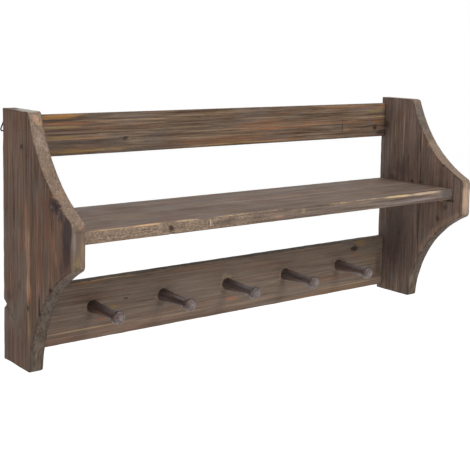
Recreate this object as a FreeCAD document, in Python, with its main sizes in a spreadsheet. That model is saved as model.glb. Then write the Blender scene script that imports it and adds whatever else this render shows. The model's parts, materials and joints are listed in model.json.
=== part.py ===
import FreeCAD, Part
import os
import Sketcher

# Wall rack: two scooped side boards, each glued up from two staves, carry a shelf, an upper
# rail and a peg rail with turned pegs. Two wire rings on straps hang it from the wall.
#
# Frame, in millimetres: X across the rack, +Y towards the wall, +Z up. The origin is the
# middle of the peg rail's back face, in the plane of the rack's back. Heights are measured
# from the foot of the side boards, and "foot" sets that level in the frame.

# alias, value, what it is
sizes = [
    ("overall_width", 800.0, "across both side boards"),
    ("side_thickness", 22.0, "thickness of a side board"),
    ("side_height", 370.0, "foot to top of a side board"),
    ("side_depth", 203.0, "back to nose of a side board"),
    ("top_depth", 79.0, "back to where the upper scoop meets the top"),
    ("bottom_depth", 82.5, "back to where the lower scoop meets the foot"),
    ("nose_top", 232.0, "foot to where the upper scoop meets the nose"),
    ("nose_bottom", 167.5, "foot to where the lower scoop meets the nose"),
    ("upper_scoop_radius", 222.0, "hollow above the shelf"),
    ("lower_scoop_radius", 203.0, "hollow below the shelf"),
    ("top_corner_radius", 8.0, "rounding of the top front corner"),
    ("nose_corner_radius", 9.0, "rounding of both nose corners"),
    ("foot_corner_radius", 4.0, "rounding of the front corner at the foot"),
    ("glue_line_lead", 20.5, "glue line between the staves, ahead of the foot's front corner"),
    ("arris_radius", 1.2, "easing of the long edges of shelf and rails"),
    ("shelf_top", 215.5, "foot to the shelf's top face"),
    ("shelf_thickness", 19.0, "shelf board"),
    ("shelf_depth", 182.0, "back to front of the shelf"),
    ("upper_rail_height", 63.0, "upper rail"),
    ("upper_rail_thickness", 10.0, "upper rail"),
    ("upper_rail_drop", 11.0, "top of a side board down to the upper rail"),
    ("peg_rail_height", 94.0, "peg rail"),
    ("peg_rail_thickness", 15.0, "peg rail"),
    ("peg_rail_lift", 9.5, "foot up to the peg rail"),
    ("peg_count", 5, "pegs in the row"),
    ("peg_end_margin", 118.0, "end of the peg rail to the peg next to it"),
    ("peg_height", 61.0, "foot up to the peg axis"),
    ("peg_projection", 82.0, "rail face to the front of a knob"),
    ("tenon_radius", 6.0, "peg tenon"),
    ("tenon_length", 11.5, "peg tenon"),
    ("peg_foot_radius", 9.9, "peg where it meets the rail"),
    ("peg_foot_length", 4.0, "straight part of the peg's foot"),
    ("neck_radius", 7.3, "peg just behind its knob"),
    ("shaft_hollow_radius", 760.0, "long hollow of the peg's taper"),
    ("knob_radius", 10.8, "knob"),
    ("knob_length", 11.5, "knob, with its dome"),
    ("knob_dome", 2.2, "crown of the knob's front"),
    ("knob_front_radius", 5.0, "rounding of the knob's front edge"),
    ("knob_back_radius", 2.0, "rounding of the knob's back edge"),
    ("knob_neck_radius", 0.9, "hollow between the neck and the knob"),
    ("foot_edge_radius", 1.0, "easing of the peg's foot"),
    ("dowel_radius", 3.0, "hidden dowels"),
    ("dowel_length", 30.0, "hidden dowels"),
    ("dowel_chamfer", 0.7, "ends of the dowels"),
    ("side_hole_depth", 14.0, "dowel hole in a side board"),
    ("hole_end_room", 0.5, "past each end of a dowel, tenon or screw"),
    ("glue_gap", 0.1, "round a dowel or tenon, on the radius"),
    ("shelf_dowel_inset", 30.0, "shelf's back or front edge to its outer dowels"),
    ("upper_rail_dowel_pitch", 36.0, "between the upper rail's dowels"),
    ("peg_rail_dowel_pitch", 56.0, "between the peg rail's dowels"),
    ("hanger_drop", 33.0, "top of a side board down to the ring's hinge"),
    ("wire_radius", 1.0, "ring wire"),
    ("hinge_clearance", 0.08, "ring wire in the strap's loop, on the radius"),
    ("ring_half_width", 13.4, "outside of the ring"),
    ("ring_rise", 29.0, "hinge to the middle of the wire at the apex"),
    ("ring_corner_radius", 2.5, "middle of the wire round each corner"),
    ("ring_rest_gap", 0.3, "leaning ring to the back of the side board"),
    ("strap_wall", 0.8, "sheet of the strap"),
    ("strap_thickness", 1.6, "strap where its two layers lie together"),
    ("strap_width", 10.0, "strap"),
    ("strap_length", 15.0, "hinge to the strap's lower end"),
    ("strap_corner_radius", 3.5, "lower corners of the strap"),
    ("screw_drop", 9.0, "hinge down to the screw"),
    ("screw_length", 16.0, "under the head to the point"),
    ("screw_tip_length", 3.0, "point of the screw"),
    ("screw_radius", 1.75, "screw shank"),
    ("screw_head_radius", 3.3, "screw head"),
    ("screw_head_height", 2.2, "screw head"),
    ("screw_head_rim", 0.9, "upright rim of the screw head"),
    ("recess_half_length", 1.9, "cross recess, centre to the end of an arm"),
    ("recess_half_width", 0.45, "cross recess, half of an arm's width"),
    ("recess_depth", 1.1, "cross recess"),
    ("strap_hole_clearance", 0.2, "screw in the strap's hole, on the radius"),
    ("pilot_clearance", 0.05, "screw in the side board, on the radius"),
]

doc = FreeCAD.newDocument("wall_rack")
sheet = doc.addObject("Spreadsheet::Sheet", "Sizes")
for row, (alias, number, note) in enumerate(sizes, start=1):
    sheet.set("A%d" % row, alias)
    sheet.set("B%d" % row, str(number))
    sheet.set("C%d" % row, note)
    sheet.setAlias("B%d" % row, alias)
doc.recompute()

# Lengths that several bodies share, as expressions on the sheet.
inner_half = "(Sizes.overall_width / 2 - Sizes.side_thickness)"
foot = "-(Sizes.peg_rail_lift + Sizes.peg_rail_height / 2)"
glue_line = "(Sizes.bottom_depth + Sizes.glue_line_lead)"
peg_spacing = "(2 * (%s - Sizes.peg_end_margin) / (Sizes.peg_count - 1))" % inner_half
dowel_hole_radius = "(Sizes.dowel_radius + Sizes.glue_gap)"
board_hole_depth = "(Sizes.dowel_length - Sizes.side_hole_depth + 2 * Sizes.hole_end_room)"
shelf_middle = "(Sizes.shelf_top - Sizes.shelf_thickness / 2)"
upper_rail_bottom = "(Sizes.side_height - Sizes.upper_rail_drop - Sizes.upper_rail_height)"
upper_rail_middle = "(Sizes.side_height - Sizes.upper_rail_drop - Sizes.upper_rail_height / 2)"
peg_rail_middle = "(Sizes.peg_rail_lift + Sizes.peg_rail_height / 2)"
hinge_height = "(Sizes.side_height - Sizes.hanger_drop)"
loop_bore_radius = "(Sizes.wire_radius + Sizes.hinge_clearance)"
hinge_back = "(Sizes.strap_wall + Sizes.wire_radius + Sizes.hinge_clearance)"

# Dowel centres of each cross board, as (distance in front of the back, height above the foot).
shelf_dowels = [
    ("Sizes.shelf_dowel_inset", shelf_middle),
    ("(Sizes.shelf_depth / 2)", shelf_middle),
    ("(Sizes.shelf_depth - Sizes.shelf_dowel_inset)", shelf_middle),
]
upper_rail_dowels = [
    ("(Sizes.upper_rail_thickness / 2)", "(%s - Sizes.upper_rail_dowel_pitch / 2)" % upper_rail_middle),
    ("(Sizes.upper_rail_thickness / 2)", "(%s + Sizes.upper_rail_dowel_pitch / 2)" % upper_rail_middle),
]
peg_rail_dowels = [
    ("(Sizes.peg_rail_thickness / 2)", "(%s - Sizes.peg_rail_dowel_pitch / 2)" % peg_rail_middle),
    ("(Sizes.peg_rail_thickness / 2)", "(%s + Sizes.peg_rail_dowel_pitch / 2)" % peg_rail_middle),
]


def size(expression):
    # The present value of an expression on the sheet.
    result = sheet.evalExpression(expression)
    return float(getattr(result, "Value", result))


def new_body(name, x="0", y="0", z="0"):
    body = doc.addObject("PartDesign::Body", name)
    body.Label = name
    body.setExpression("Placement.Base.x", x)
    body.setExpression("Placement.Base.y", y)
    body.setExpression("Placement.Base.z", z)
    return body


def origin_plane(body, role):
    for feature in body.Origin.OriginFeatures:
        if feature.Role == role:
            return feature
    raise ValueError("no origin feature " + role)


def new_sketch(body, role, offset="0"):
    # XY reads (x, y), YZ reads (y, z) and faces +X, XZ reads (x, z) and faces -Y.
    sketch = body.newObject("Sketcher::SketchObject", body.Name + "_sketch")
    sketch.AttachmentSupport = [(origin_plane(body, role), "")]
    sketch.MapMode = "FlatFace"
    sketch.setExpression("AttachmentOffset.Base.z", offset)
    return sketch


def lock_point(sketch, geometry, point, across, along):
    # Ties one point of a sketch to a pair of expressions.
    for kind, axis, expression in (("DistanceX", -2, across), ("DistanceY", -1, along)):
        if expression == "0":
            sketch.addConstraint(Sketcher.Constraint("PointOnObject", geometry, point, axis))
            continue
        index = sketch.addConstraint(
            Sketcher.Constraint(kind, -1, 1, geometry, point, size(expression)))
        sketch.setExpression("Constraints[%d]" % index, expression)


def draw_circle(sketch, across, along, radius):
    centre = FreeCAD.Vector(size(across), size(along), 0)
    circle = Part.Circle(centre, FreeCAD.Vector(0, 0, 1), size(radius))
    geometry = sketch.addGeometry(circle)
    index = sketch.addConstraint(Sketcher.Constraint("Radius", geometry, size(radius)))
    sketch.setExpression("Constraints[%d]" % index, radius)
    lock_point(sketch, geometry, 3, across, along)


def arc_middle(start, end, radius):
    # The middle of the arc under half a circle that turns left from start to end; a
    # negative radius turns right.
    chord = end - start
    half = chord.Length / 2
    sagitta = abs(radius) - (radius ** 2 - half ** 2) ** 0.5
    outward = FreeCAD.Vector(chord.y, -chord.x, 0).normalize()
    if radius < 0:
        outward = outward * -1
    return start + chord * 0.5 + outward * sagitta


def draw_outline(sketch, corners, arcs=None):
    # A closed outline through corners. arcs maps the number of an edge to its radius
    # expression and +1 or -1 for a left or right turn; a radius of "centred" puts the
    # arc's centre on the sketch's upright axis instead.
    arcs = arcs or {}
    points = [FreeCAD.Vector(size(across), size(along), 0) for across, along in corners]
    edges = []
    for number, start in enumerate(points):
        end = points[(number + 1) % len(points)]
        if number not in arcs:
            edges.append((sketch.addGeometry(Part.LineSegment(start, end)), 1, 2))
            continue
        radius, turn = arcs[number]
        if radius == "centred":
            chord = end - start
            rise = abs(chord.y)
            reach = (chord.Length ** 2) / (2 * rise)
        else:
            reach = size(radius)
        geometry = sketch.addGeometry(Part.Arc(start, arc_middle(start, end, turn * reach), end))
        if radius == "centred":
            sketch.addConstraint(Sketcher.Constraint("PointOnObject", geometry, 3, -2))
        else:
            index = sketch.addConstraint(Sketcher.Constraint("Radius", geometry, reach))
            sketch.setExpression("Constraints[%d]" % index, radius)
        edges.append((geometry, 1, 2) if turn > 0 else (geometry, 2, 1))
    for number, (geometry, first, last) in enumerate(edges):
        following, its_first, its_last = edges[(number + 1) % len(edges)]
        sketch.addConstraint(
            Sketcher.Constraint("Coincident", geometry, last, following, its_first))
        lock_point(sketch, geometry, first, *corners[number])


def rectangle(left, right, low, high):
    return [(left, low), (right, low), (right, high), (left, high)]


def add_pad(body, sketch, length, both_ways=False):
    pad = body.newObject("PartDesign::Pad", body.Name + "_pad")
    pad.Profile = sketch
    pad.SideType = "Symmetric" if both_ways else "One side"
    pad.setExpression("Length", length)
    doc.recompute()
    return pad


def add_pocket(body, sketch, depth=None, reversed_cut=False, both_ways=False):
    # Cuts against the sketch's normal, or along it if reversed; no depth cuts right through.
    before = body.Shape.Volume
    pocket = body.newObject("PartDesign::Pocket", body.Name + "_pocket")
    pocket.Profile = sketch
    pocket.Reversed = reversed_cut
    pocket.SideType = "Symmetric" if both_ways else "One side"
    if depth is None:
        pocket.Type = "ThroughAll"
    else:
        pocket.setExpression("Length", depth)
    doc.recompute()
    if not pocket.Shape.Volume < before:
        raise ValueError(pocket.Name + " cuts nothing")
    return pocket


def add_revolution(body, sketch):
    turned = body.newObject("PartDesign::Revolution", body.Name + "_turning")
    turned.Profile = sketch
    turned.ReferenceAxis = (sketch, ["V_Axis"])
    turned.Angle = 360
    doc.recompute()
    return turned


def round_edges(body, base, chosen, radius, kind="PartDesign::Fillet"):
    # Rounds, or chamfers, the edges of base that chosen picks, in the body's own frame.
    names = []
    for number, edge in enumerate(base.Shape.Edges, start=1):
        if chosen(edge):
            names.append("Edge%d" % number)
    if not names:
        raise ValueError("no edge to round on " + body.Name)
    rounding = body.newObject(kind, body.Name + "_rounding")
    rounding.Base = (base, names)
    rounding.setExpression("Radius" if kind.endswith("Fillet") else "Size", radius)
    doc.recompute()
    return rounding


def runs_along(edge, direction):
    # True for a straight edge along the given axis: 0, 1 or 2 for X, Y or Z.
    if len(edge.Vertexes) < 2 or not isinstance(edge.Curve, Part.Line):
        return False
    return abs(abs(edge.tangentAt(edge.FirstParameter)[direction]) - 1) < 1e-6


def near(one, other):
    return abs(one - other) < 1e-4


def middle_of(edge):
    return edge.CenterOfMass


# Side boards ------------------------------------------------------------------------------

def scoop(along_depth, along_height, radius):
    # Factor that sets a circle's centre off the middle of a chord of the given two legs.
    return "sqrt(%s ^ 2 / ((%s) ^ 2 + (%s) ^ 2) - 0.25)" % (radius, along_depth, along_height)


upper_run = "(Sizes.side_depth - Sizes.top_depth)"
upper_fall = "(Sizes.side_height - Sizes.nose_top)"
upper_factor = scoop(upper_run, upper_fall, "Sizes.upper_scoop_radius")
upper_centre = (
    "-((Sizes.top_depth + Sizes.side_depth) / 2 + %s * %s)" % (upper_fall, upper_factor),
    "((Sizes.side_height + Sizes.nose_top) / 2 + %s * %s)" % (upper_run, upper_factor),
)
lower_run = "(Sizes.side_depth - Sizes.bottom_depth)"
lower_factor = scoop(lower_run, "Sizes.nose_bottom", "Sizes.lower_scoop_radius")
lower_centre = (
    "-((Sizes.bottom_depth + Sizes.side_depth) / 2 + Sizes.nose_bottom * %s)" % lower_factor,
    "(Sizes.nose_bottom / 2 - %s * %s)" % (lower_run, lower_factor),
)


def scooped_stave(name, left_side, back, front):
    # A stave between two depths, with both scoops taken out of it.
    place = "-Sizes.overall_width / 2" if left_side else inner_half
    body = new_body(name, x=place, z=foot)
    blank = new_sketch(body, "YZ_Plane")
    draw_outline(blank, rectangle("-" + front, back, "0", "Sizes.side_height"))
    add_pad(body, blank, "Sizes.side_thickness")
    for (across, along), radius in ((upper_centre, "Sizes.upper_scoop_radius"),
                                    (lower_centre, "Sizes.lower_scoop_radius")):
        hollow = new_sketch(body, "YZ_Plane")
        draw_circle(hollow, across, along, radius)
        add_pocket(body, hollow, reversed_cut=True)
    return body


def drill_dowel_holes(body, left_side):
    # The whole drilling pattern goes on the inner face of both staves, so a hole that
    # meets the glue line is cut in both.
    face = "Sizes.side_thickness" if left_side else "0"
    holes = new_sketch(body, "YZ_Plane", face)
    for depth, height in shelf_dowels + upper_rail_dowels + peg_rail_dowels:
        draw_circle(holes, "-" + depth, height, dowel_hole_radius)
    add_pocket(body, holes, "Sizes.side_hole_depth", reversed_cut=not left_side)


def make_side(side):
    left_side = side == "left"
    rear = scooped_stave("side_%s_rear_stave" % side, left_side, "0", glue_line)

    def top_corner(edge):
        high = near(middle_of(edge).z, size("Sizes.side_height"))
        return runs_along(edge, 0) and high and middle_of(edge).y < -1

    def foot_corner(edge):
        low = near(middle_of(edge).z, 0)
        return runs_along(edge, 0) and low and middle_of(edge).y < -1

    round_edges(rear, rear.Tip, top_corner, "Sizes.top_corner_radius")
    round_edges(rear, rear.Tip, foot_corner, "Sizes.foot_corner_radius")
    drill_dowel_holes(rear, left_side)
    pilot = new_sketch(rear, "XZ_Plane")
    draw_circle(pilot, "Sizes.side_thickness / 2", hinge_height + " - Sizes.screw_drop",
                "Sizes.screw_radius + Sizes.pilot_clearance")
    add_pocket(rear, pilot, "Sizes.screw_length - Sizes.strap_thickness + Sizes.hole_end_room",
               reversed_cut=True)

    front = scooped_stave("side_%s_front_stave" % side, left_side, "-" + glue_line,
                          "Sizes.side_depth")

    def nose_corner(edge):
        return runs_along(edge, 0) and near(middle_of(edge).y, -size("Sizes.side_depth"))

    round_edges(front, front.Tip, nose_corner, "Sizes.nose_corner_radius")
    drill_dowel_holes(front, left_side)


# Shelf and rails --------------------------------------------------------------------------

def make_cross_board(name, bottom, thickness, height, dowels):
    # A board between the sides, with its front edges eased and dowel holes in both ends.
    body = new_body(name, z="%s + %s" % (foot, bottom))
    plan = new_sketch(body, "XY_Plane")
    draw_outline(plan, rectangle("-" + inner_half, inner_half, "-" + thickness, "0"))
    blank = add_pad(body, plan, height)

    def front_edge(edge):
        return runs_along(edge, 0) and near(middle_of(edge).y, -size(thickness))

    round_edges(body, blank, front_edge, "Sizes.arris_radius")
    ends = new_sketch(body, "YZ_Plane", inner_half)
    for depth, above_foot in dowels:
        draw_circle(ends, "-" + depth, "%s - %s" % (above_foot, bottom), dowel_hole_radius)
    drilled = add_pocket(body, ends, board_hole_depth)
    mirror = body.newObject("PartDesign::Mirrored", name + "_mirror")
    mirror.Originals = [drilled]
    mirror.MirrorPlane = (origin_plane(body, "YZ_Plane"), [""])
    body.Tip = mirror
    doc.recompute()
    return body


def bore_peg_holes(body):
    # Blind holes in a row, from the rail's front face.
    before = body.Shape.Volume
    start = "-(%s - Sizes.peg_end_margin)" % inner_half
    mouth = new_sketch(body, "XZ_Plane", "Sizes.peg_rail_thickness")
    draw_circle(mouth, start, "Sizes.peg_height - Sizes.peg_rail_lift",
                "Sizes.tenon_radius + Sizes.glue_gap")
    first = add_pocket(body, mouth, "Sizes.tenon_length + Sizes.hole_end_room")
    row = body.newObject("PartDesign::LinearPattern", body.Name + "_row")
    row.Originals = [first]
    row.Direction = (mouth, ["H_Axis"])
    row.setExpression("Length", "(Sizes.peg_count - 1) * " + peg_spacing)
    row.setExpression("Occurrences", "Sizes.peg_count")
    body.Tip = row
    doc.recompute()
    one = before - first.Shape.Volume
    if not near((before - row.Shape.Volume) / one, size("Sizes.peg_count")):
        raise ValueError("the row of peg holes is not complete")


# Pegs -------------------------------------------------------------------------------------

def make_peg(number):
    # Turned peg: a blind tenon, a foot against the rail, a hollow taper and a round knob.
    place = "(%d - (Sizes.peg_count + 1) / 2) * %s" % (number, peg_spacing)
    body = new_body("peg_%d" % number, x=place, y="-Sizes.peg_rail_thickness",
                    z=foot + " + Sizes.peg_height")
    knob_back = "-(Sizes.peg_projection - Sizes.knob_length)"
    knob_rim = "-(Sizes.peg_projection - Sizes.knob_dome)"
    half_profile = new_sketch(body, "XY_Plane")
    draw_outline(half_profile, [
        ("0", "Sizes.tenon_length"),
        ("0", "-Sizes.peg_projection"),
        ("Sizes.knob_radius", knob_rim),
        ("Sizes.knob_radius", knob_back),
        ("Sizes.neck_radius", knob_back),
        ("Sizes.peg_foot_radius", "-Sizes.peg_foot_length"),
        ("Sizes.peg_foot_radius", "0"),
        ("Sizes.tenon_radius", "0"),
        ("Sizes.tenon_radius", "Sizes.tenon_length"),
    ], {1: ("centred", 1), 4: ("Sizes.shaft_hollow_radius", -1)})
    turned = add_revolution(body, half_profile)

    def ring_at(depth, radius):
        def chosen(edge):
            if edge.Degenerated or not isinstance(edge.Curve, Part.Circle):
                return False
            level = edge.Curve.Center.y
            return near(level, size(depth)) and near(edge.Curve.Radius, size(radius))
        return chosen

    wall = "(Sizes.knob_radius - Sizes.neck_radius)"
    back_rounding = "min(Sizes.knob_back_radius; 0.6 * %s)" % wall
    neck_hollow = "min(Sizes.knob_neck_radius; 0.3 * %s)" % wall
    step = round_edges(body, turned, ring_at(knob_rim, "Sizes.knob_radius"),
                       "Sizes.knob_front_radius")
    step = round_edges(body, step, ring_at(knob_back, "Sizes.knob_radius"), back_rounding)
    step = round_edges(body, step, ring_at(knob_back, "Sizes.neck_radius"), neck_hollow)
    round_edges(body, step, ring_at("0", "Sizes.peg_foot_radius"), "Sizes.foot_edge_radius")


# Dowels -----------------------------------------------------------------------------------

def make_dowels(prefix, dowels):
    # Across each joint: the side board's part of the dowel first, then the board's.
    reach = "(%s + Sizes.side_hole_depth - Sizes.hole_end_room)" % inner_half
    for side in ("left", "right"):
        start = "-" + reach if side == "left" else "%s - Sizes.dowel_length" % reach
        for number, (depth, height) in enumerate(dowels, start=1):
            body = new_body("%s_dowel_%s_%d" % (prefix, side, number),
                            x=start, y="-" + depth, z="%s + %s" % (foot, height))
            section = new_sketch(body, "YZ_Plane")
            draw_circle(section, "0", "0", "Sizes.dowel_radius")
            blank = add_pad(body, section, "Sizes.dowel_length")
            round_edges(body, blank, lambda edge: edge.isClosed(), "Sizes.dowel_chamfer",
                        "PartDesign::Chamfer")


# Hangers ----------------------------------------------------------------------------------

def hanger_place(side):
    sign = "-" if side == "left" else ""
    return "%s(Sizes.overall_width / 2 - Sizes.side_thickness / 2)" % sign


def make_strap(side):
    # Sheet folded round the ring's lower bar; its two layers lie together down to the screw.
    body = new_body("hanger_strap_" + side, x=hanger_place(side),
                    z=foot + " + " + hinge_height)
    plate = new_sketch(body, "YZ_Plane")
    draw_outline(plate, rectangle("0", "Sizes.strap_thickness", "-Sizes.strap_length", "0"))
    layers = add_pad(body, plate, "Sizes.strap_width", both_ways=True)

    def lower_corner(edge):
        low = -size("Sizes.strap_length")
        return runs_along(edge, 1) and near(middle_of(edge).z, low)

    round_edges(body, layers, lower_corner, "Sizes.strap_corner_radius")
    loop = new_sketch(body, "YZ_Plane")
    draw_circle(loop, hinge_back, "0", loop_bore_radius + " + Sizes.strap_wall")
    add_pad(body, loop, "Sizes.strap_width", both_ways=True)
    bore = new_sketch(body, "YZ_Plane")
    draw_circle(bore, hinge_back, "0", loop_bore_radius)
    add_pocket(body, bore, both_ways=True)
    hole = new_sketch(body, "XZ_Plane")
    draw_circle(hole, "0", "-Sizes.screw_drop", "Sizes.screw_radius + Sizes.strap_hole_clearance")
    add_pocket(body, hole)


def make_ring(side):
    # Triangular wire ring, apex up, leaning on the back of the side board. Its path is
    # straight runs tangent to three arcs of one radius.
    body = new_body("hanger_ring_" + side, x=hanger_place(side), y=hinge_back,
                    z=foot + " + " + hinge_height)
    base = "(Sizes.ring_half_width - Sizes.wire_radius - Sizes.ring_corner_radius)"
    apex = "(Sizes.ring_rise - Sizes.ring_corner_radius)"
    climb = "(%s - Sizes.ring_corner_radius)" % apex
    run = "sqrt(%s ^ 2 + %s ^ 2)" % (base, climb)
    out = "(Sizes.ring_corner_radius * %s / %s)" % (climb, run)
    up = "(Sizes.ring_corner_radius * %s / %s)" % (base, run)
    corner_top = "(Sizes.ring_corner_radius + %s)" % up
    apex_side = "(%s + %s)" % (apex, up)
    path = new_sketch(body, "XZ_Plane")
    draw_outline(path, [
        ("0", "0"),
        (base, "0"),
        ("%s + %s" % (base, out), corner_top),
        (out, apex_side),
        ("-" + out, apex_side),
        ("-(%s + %s)" % (base, out), corner_top),
        ("-" + base, "0"),
    ], {1: ("Sizes.ring_corner_radius", 1), 3: ("Sizes.ring_corner_radius", 1),
        5: ("Sizes.ring_corner_radius", 1)})
    section = new_sketch(body, "YZ_Plane")
    draw_circle(section, "0", "0", "Sizes.wire_radius")
    wire = body.newObject("PartDesign::AdditivePipe", body.Name + "_wire")
    wire.Profile = section
    wire.Spine = (path, [])
    body.Tip = wire
    body.Placement.Rotation = FreeCAD.Rotation(FreeCAD.Vector(1, 0, 0), 0)
    lean = "asin((%s - Sizes.wire_radius - Sizes.ring_rest_gap) / Sizes.ring_rise)" % hinge_back
    body.setExpression("Placement.Rotation.Angle", lean)
    doc.recompute()


def make_screw(side):
    # Pan-head screw through the strap into the side board's back edge.
    body = new_body("hanger_screw_" + side, x=hanger_place(side), y="Sizes.strap_thickness",
                    z=foot + " + " + hinge_height + " - Sizes.screw_drop")
    half_profile = new_sketch(body, "XY_Plane")
    draw_outline(half_profile, [
        ("0", "Sizes.screw_head_height"),
        ("0", "-Sizes.screw_length"),
        ("Sizes.screw_radius", "-(Sizes.screw_length - Sizes.screw_tip_length)"),
        ("Sizes.screw_radius", "0"),
        ("Sizes.screw_head_radius", "0"),
        ("Sizes.screw_head_radius", "Sizes.screw_head_rim"),
    ], {5: ("centred", 1)})
    add_revolution(body, half_profile)
    cross = new_sketch(body, "XZ_Plane", "-Sizes.screw_head_height")
    long, short = "Sizes.recess_half_length", "Sizes.recess_half_width"
    draw_outline(cross, [
        (short, short), (short, long), ("-" + short, long), ("-" + short, short),
        ("-" + long, short), ("-" + long, "-" + short), ("-" + short, "-" + short),
        ("-" + short, "-" + long), (short, "-" + long), (short, "-" + short),
        (long, "-" + short), (long, short),
    ])
    add_pocket(body, cross, "Sizes.recess_depth", reversed_cut=True)


for side in ("left", "right"):
    make_side(side)

make_cross_board("shelf", "(Sizes.shelf_top - Sizes.shelf_thickness)", "Sizes.shelf_depth",
                 "Sizes.shelf_thickness", shelf_dowels)
make_cross_board("upper_rail", upper_rail_bottom, "Sizes.upper_rail_thickness",
                 "Sizes.upper_rail_height", upper_rail_dowels)
peg_rail = make_cross_board("peg_rail", "Sizes.peg_rail_lift", "Sizes.peg_rail_thickness",
                            "Sizes.peg_rail_height", peg_rail_dowels)
bore_peg_holes(peg_rail)

for number in range(1, int(size("Sizes.peg_count")) + 1):
    make_peg(number)

make_dowels("shelf", shelf_dowels)
make_dowels("upper_rail", upper_rail_dowels)
make_dowels("peg_rail", peg_rail_dowels)

for side in ("left", "right"):
    make_strap(side)
    make_ring(side)
    make_screw(side)

doc.recompute()

# Every feature has to be sound, and every sub-part one closed solid, before it is written.
for item in doc.Objects:
    if "Invalid" in item.State or "Error" in item.State:
        raise ValueError("%s is %s" % (item.Name, item.State))
bodies = [item for item in doc.Objects if item.TypeId == "PartDesign::Body"]
for body in bodies:
    if body.Shape.isNull() or not body.Shape.isValid() or len(body.Shape.Solids) != 1:
        raise ValueError(body.Label + " is not one valid solid")

os.makedirs("parts", exist_ok=True)
for body in bodies:
    body.Shape.exportStep("parts/%s.step" % body.Label)
print("%d sub-parts written" % len(bodies))
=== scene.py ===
import bpy
import json
import math
from mathutils import Matrix, Vector, noise


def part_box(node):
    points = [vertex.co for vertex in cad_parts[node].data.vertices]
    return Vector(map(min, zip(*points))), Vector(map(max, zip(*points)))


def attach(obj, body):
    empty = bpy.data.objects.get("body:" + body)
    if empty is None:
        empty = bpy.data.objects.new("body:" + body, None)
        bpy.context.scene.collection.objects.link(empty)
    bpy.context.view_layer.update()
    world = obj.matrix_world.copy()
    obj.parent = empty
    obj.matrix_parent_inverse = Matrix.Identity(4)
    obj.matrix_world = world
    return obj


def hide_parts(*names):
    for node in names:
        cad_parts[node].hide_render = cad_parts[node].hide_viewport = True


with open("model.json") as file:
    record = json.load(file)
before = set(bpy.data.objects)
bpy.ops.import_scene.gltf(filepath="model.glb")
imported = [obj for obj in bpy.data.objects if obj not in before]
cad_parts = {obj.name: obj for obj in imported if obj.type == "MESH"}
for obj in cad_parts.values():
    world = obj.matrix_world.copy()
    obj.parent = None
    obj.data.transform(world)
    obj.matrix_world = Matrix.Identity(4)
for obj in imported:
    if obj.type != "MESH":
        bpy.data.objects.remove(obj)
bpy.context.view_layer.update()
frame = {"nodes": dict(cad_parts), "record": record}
scene = bpy.context.scene
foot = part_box("side_left_rear_stave")[0].z             # level of the side boards' feet
print("frame loaded,", len(frame["nodes"]), "solids")


def addNode(tree, kind, inputs=None, **settings):
    made = tree.nodes.new(kind)
    for key, value in settings.items():
        setattr(made, key, value)
    for key, value in (inputs or {}).items():
        if isinstance(value, bpy.types.NodeSocket):
            tree.links.new(value, made.inputs[key])
        else:
            made.inputs[key].default_value = value
    return made


def addSockets(tree, inputs, outputs):
    # inputs are (name, kind, first value), outputs are (name, kind).
    for name, kind, value in inputs:
        socket = tree.interface.new_socket(
            name, in_out="INPUT", socket_type="NodeSocket" + kind)
        if value is not None:
            socket.default_value = value
    for name, kind in outputs:
        tree.interface.new_socket(name, in_out="OUTPUT", socket_type="NodeSocket" + kind)
    return tree.nodes.new("NodeGroupInput").outputs


def calc(tree, operation, *values):
    inputs = dict(enumerate(values))
    return addNode(tree, "ShaderNodeMath", inputs, operation=operation).outputs[0]


def times(tree, first, second):
    return calc(tree, "MULTIPLY", first, second)


def vectorCalc(tree, operation, *values):
    inputs = dict(enumerate(values))
    made = addNode(tree, "ShaderNodeVectorMath", inputs, operation=operation)
    return made.outputs["Value" if operation == "LENGTH" else "Vector"]


def ease(tree, value, low, high, start=0.0, end=1.0):
    # start below low, end above high, and a soft step between them.
    made = addNode(tree, "ShaderNodeMapRange", {
        "Value": value, "From Min": low, "From Max": high, "To Min": start, "To Max": end,
    }, interpolation_type="SMOOTHSTEP")
    return made.outputs[0]


def mixColour(tree, amount, under, over, mode="MIX"):
    made = addNode(tree, "ShaderNodeMix", data_type="RGBA", blend_type=mode)
    for key, value in ((0, amount), (6, under), (7, over)):
        if isinstance(value, bpy.types.NodeSocket):
            tree.links.new(value, made.inputs[key])
        else:
            made.inputs[key].default_value = value
    return made.outputs[2]


def grainNoise(tree, place, stretch, detail=3.0, rough=0.55):
    made = addNode(tree, "ShaderNodeTexNoise", {
        "Vector": vectorCalc(tree, "MULTIPLY", place, stretch),
        "Scale": 1.0, "Detail": detail, "Roughness": rough})
    return made.outputs[0]


def tone(red, green, blue):
    # A colour as it looks, 0 to 255, as the linear colour that a shader takes.
    linear = []
    for value in (red, green, blue):
        share = value / 255
        linear.append(share / 12.92 if share <= 0.04045 else ((share + 0.055) / 1.055) ** 2.4)
    return (*linear, 1.0)


def newMaterial(name):
    material = bpy.data.materials.new(name)
    material.use_nodes = True
    tree = material.node_tree
    return material, tree, tree.nodes["Principled BSDF"]


def addObject(name, data):
    made = bpy.data.objects.new(name, data)
    scene.collection.objects.link(made)
    return made


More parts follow.
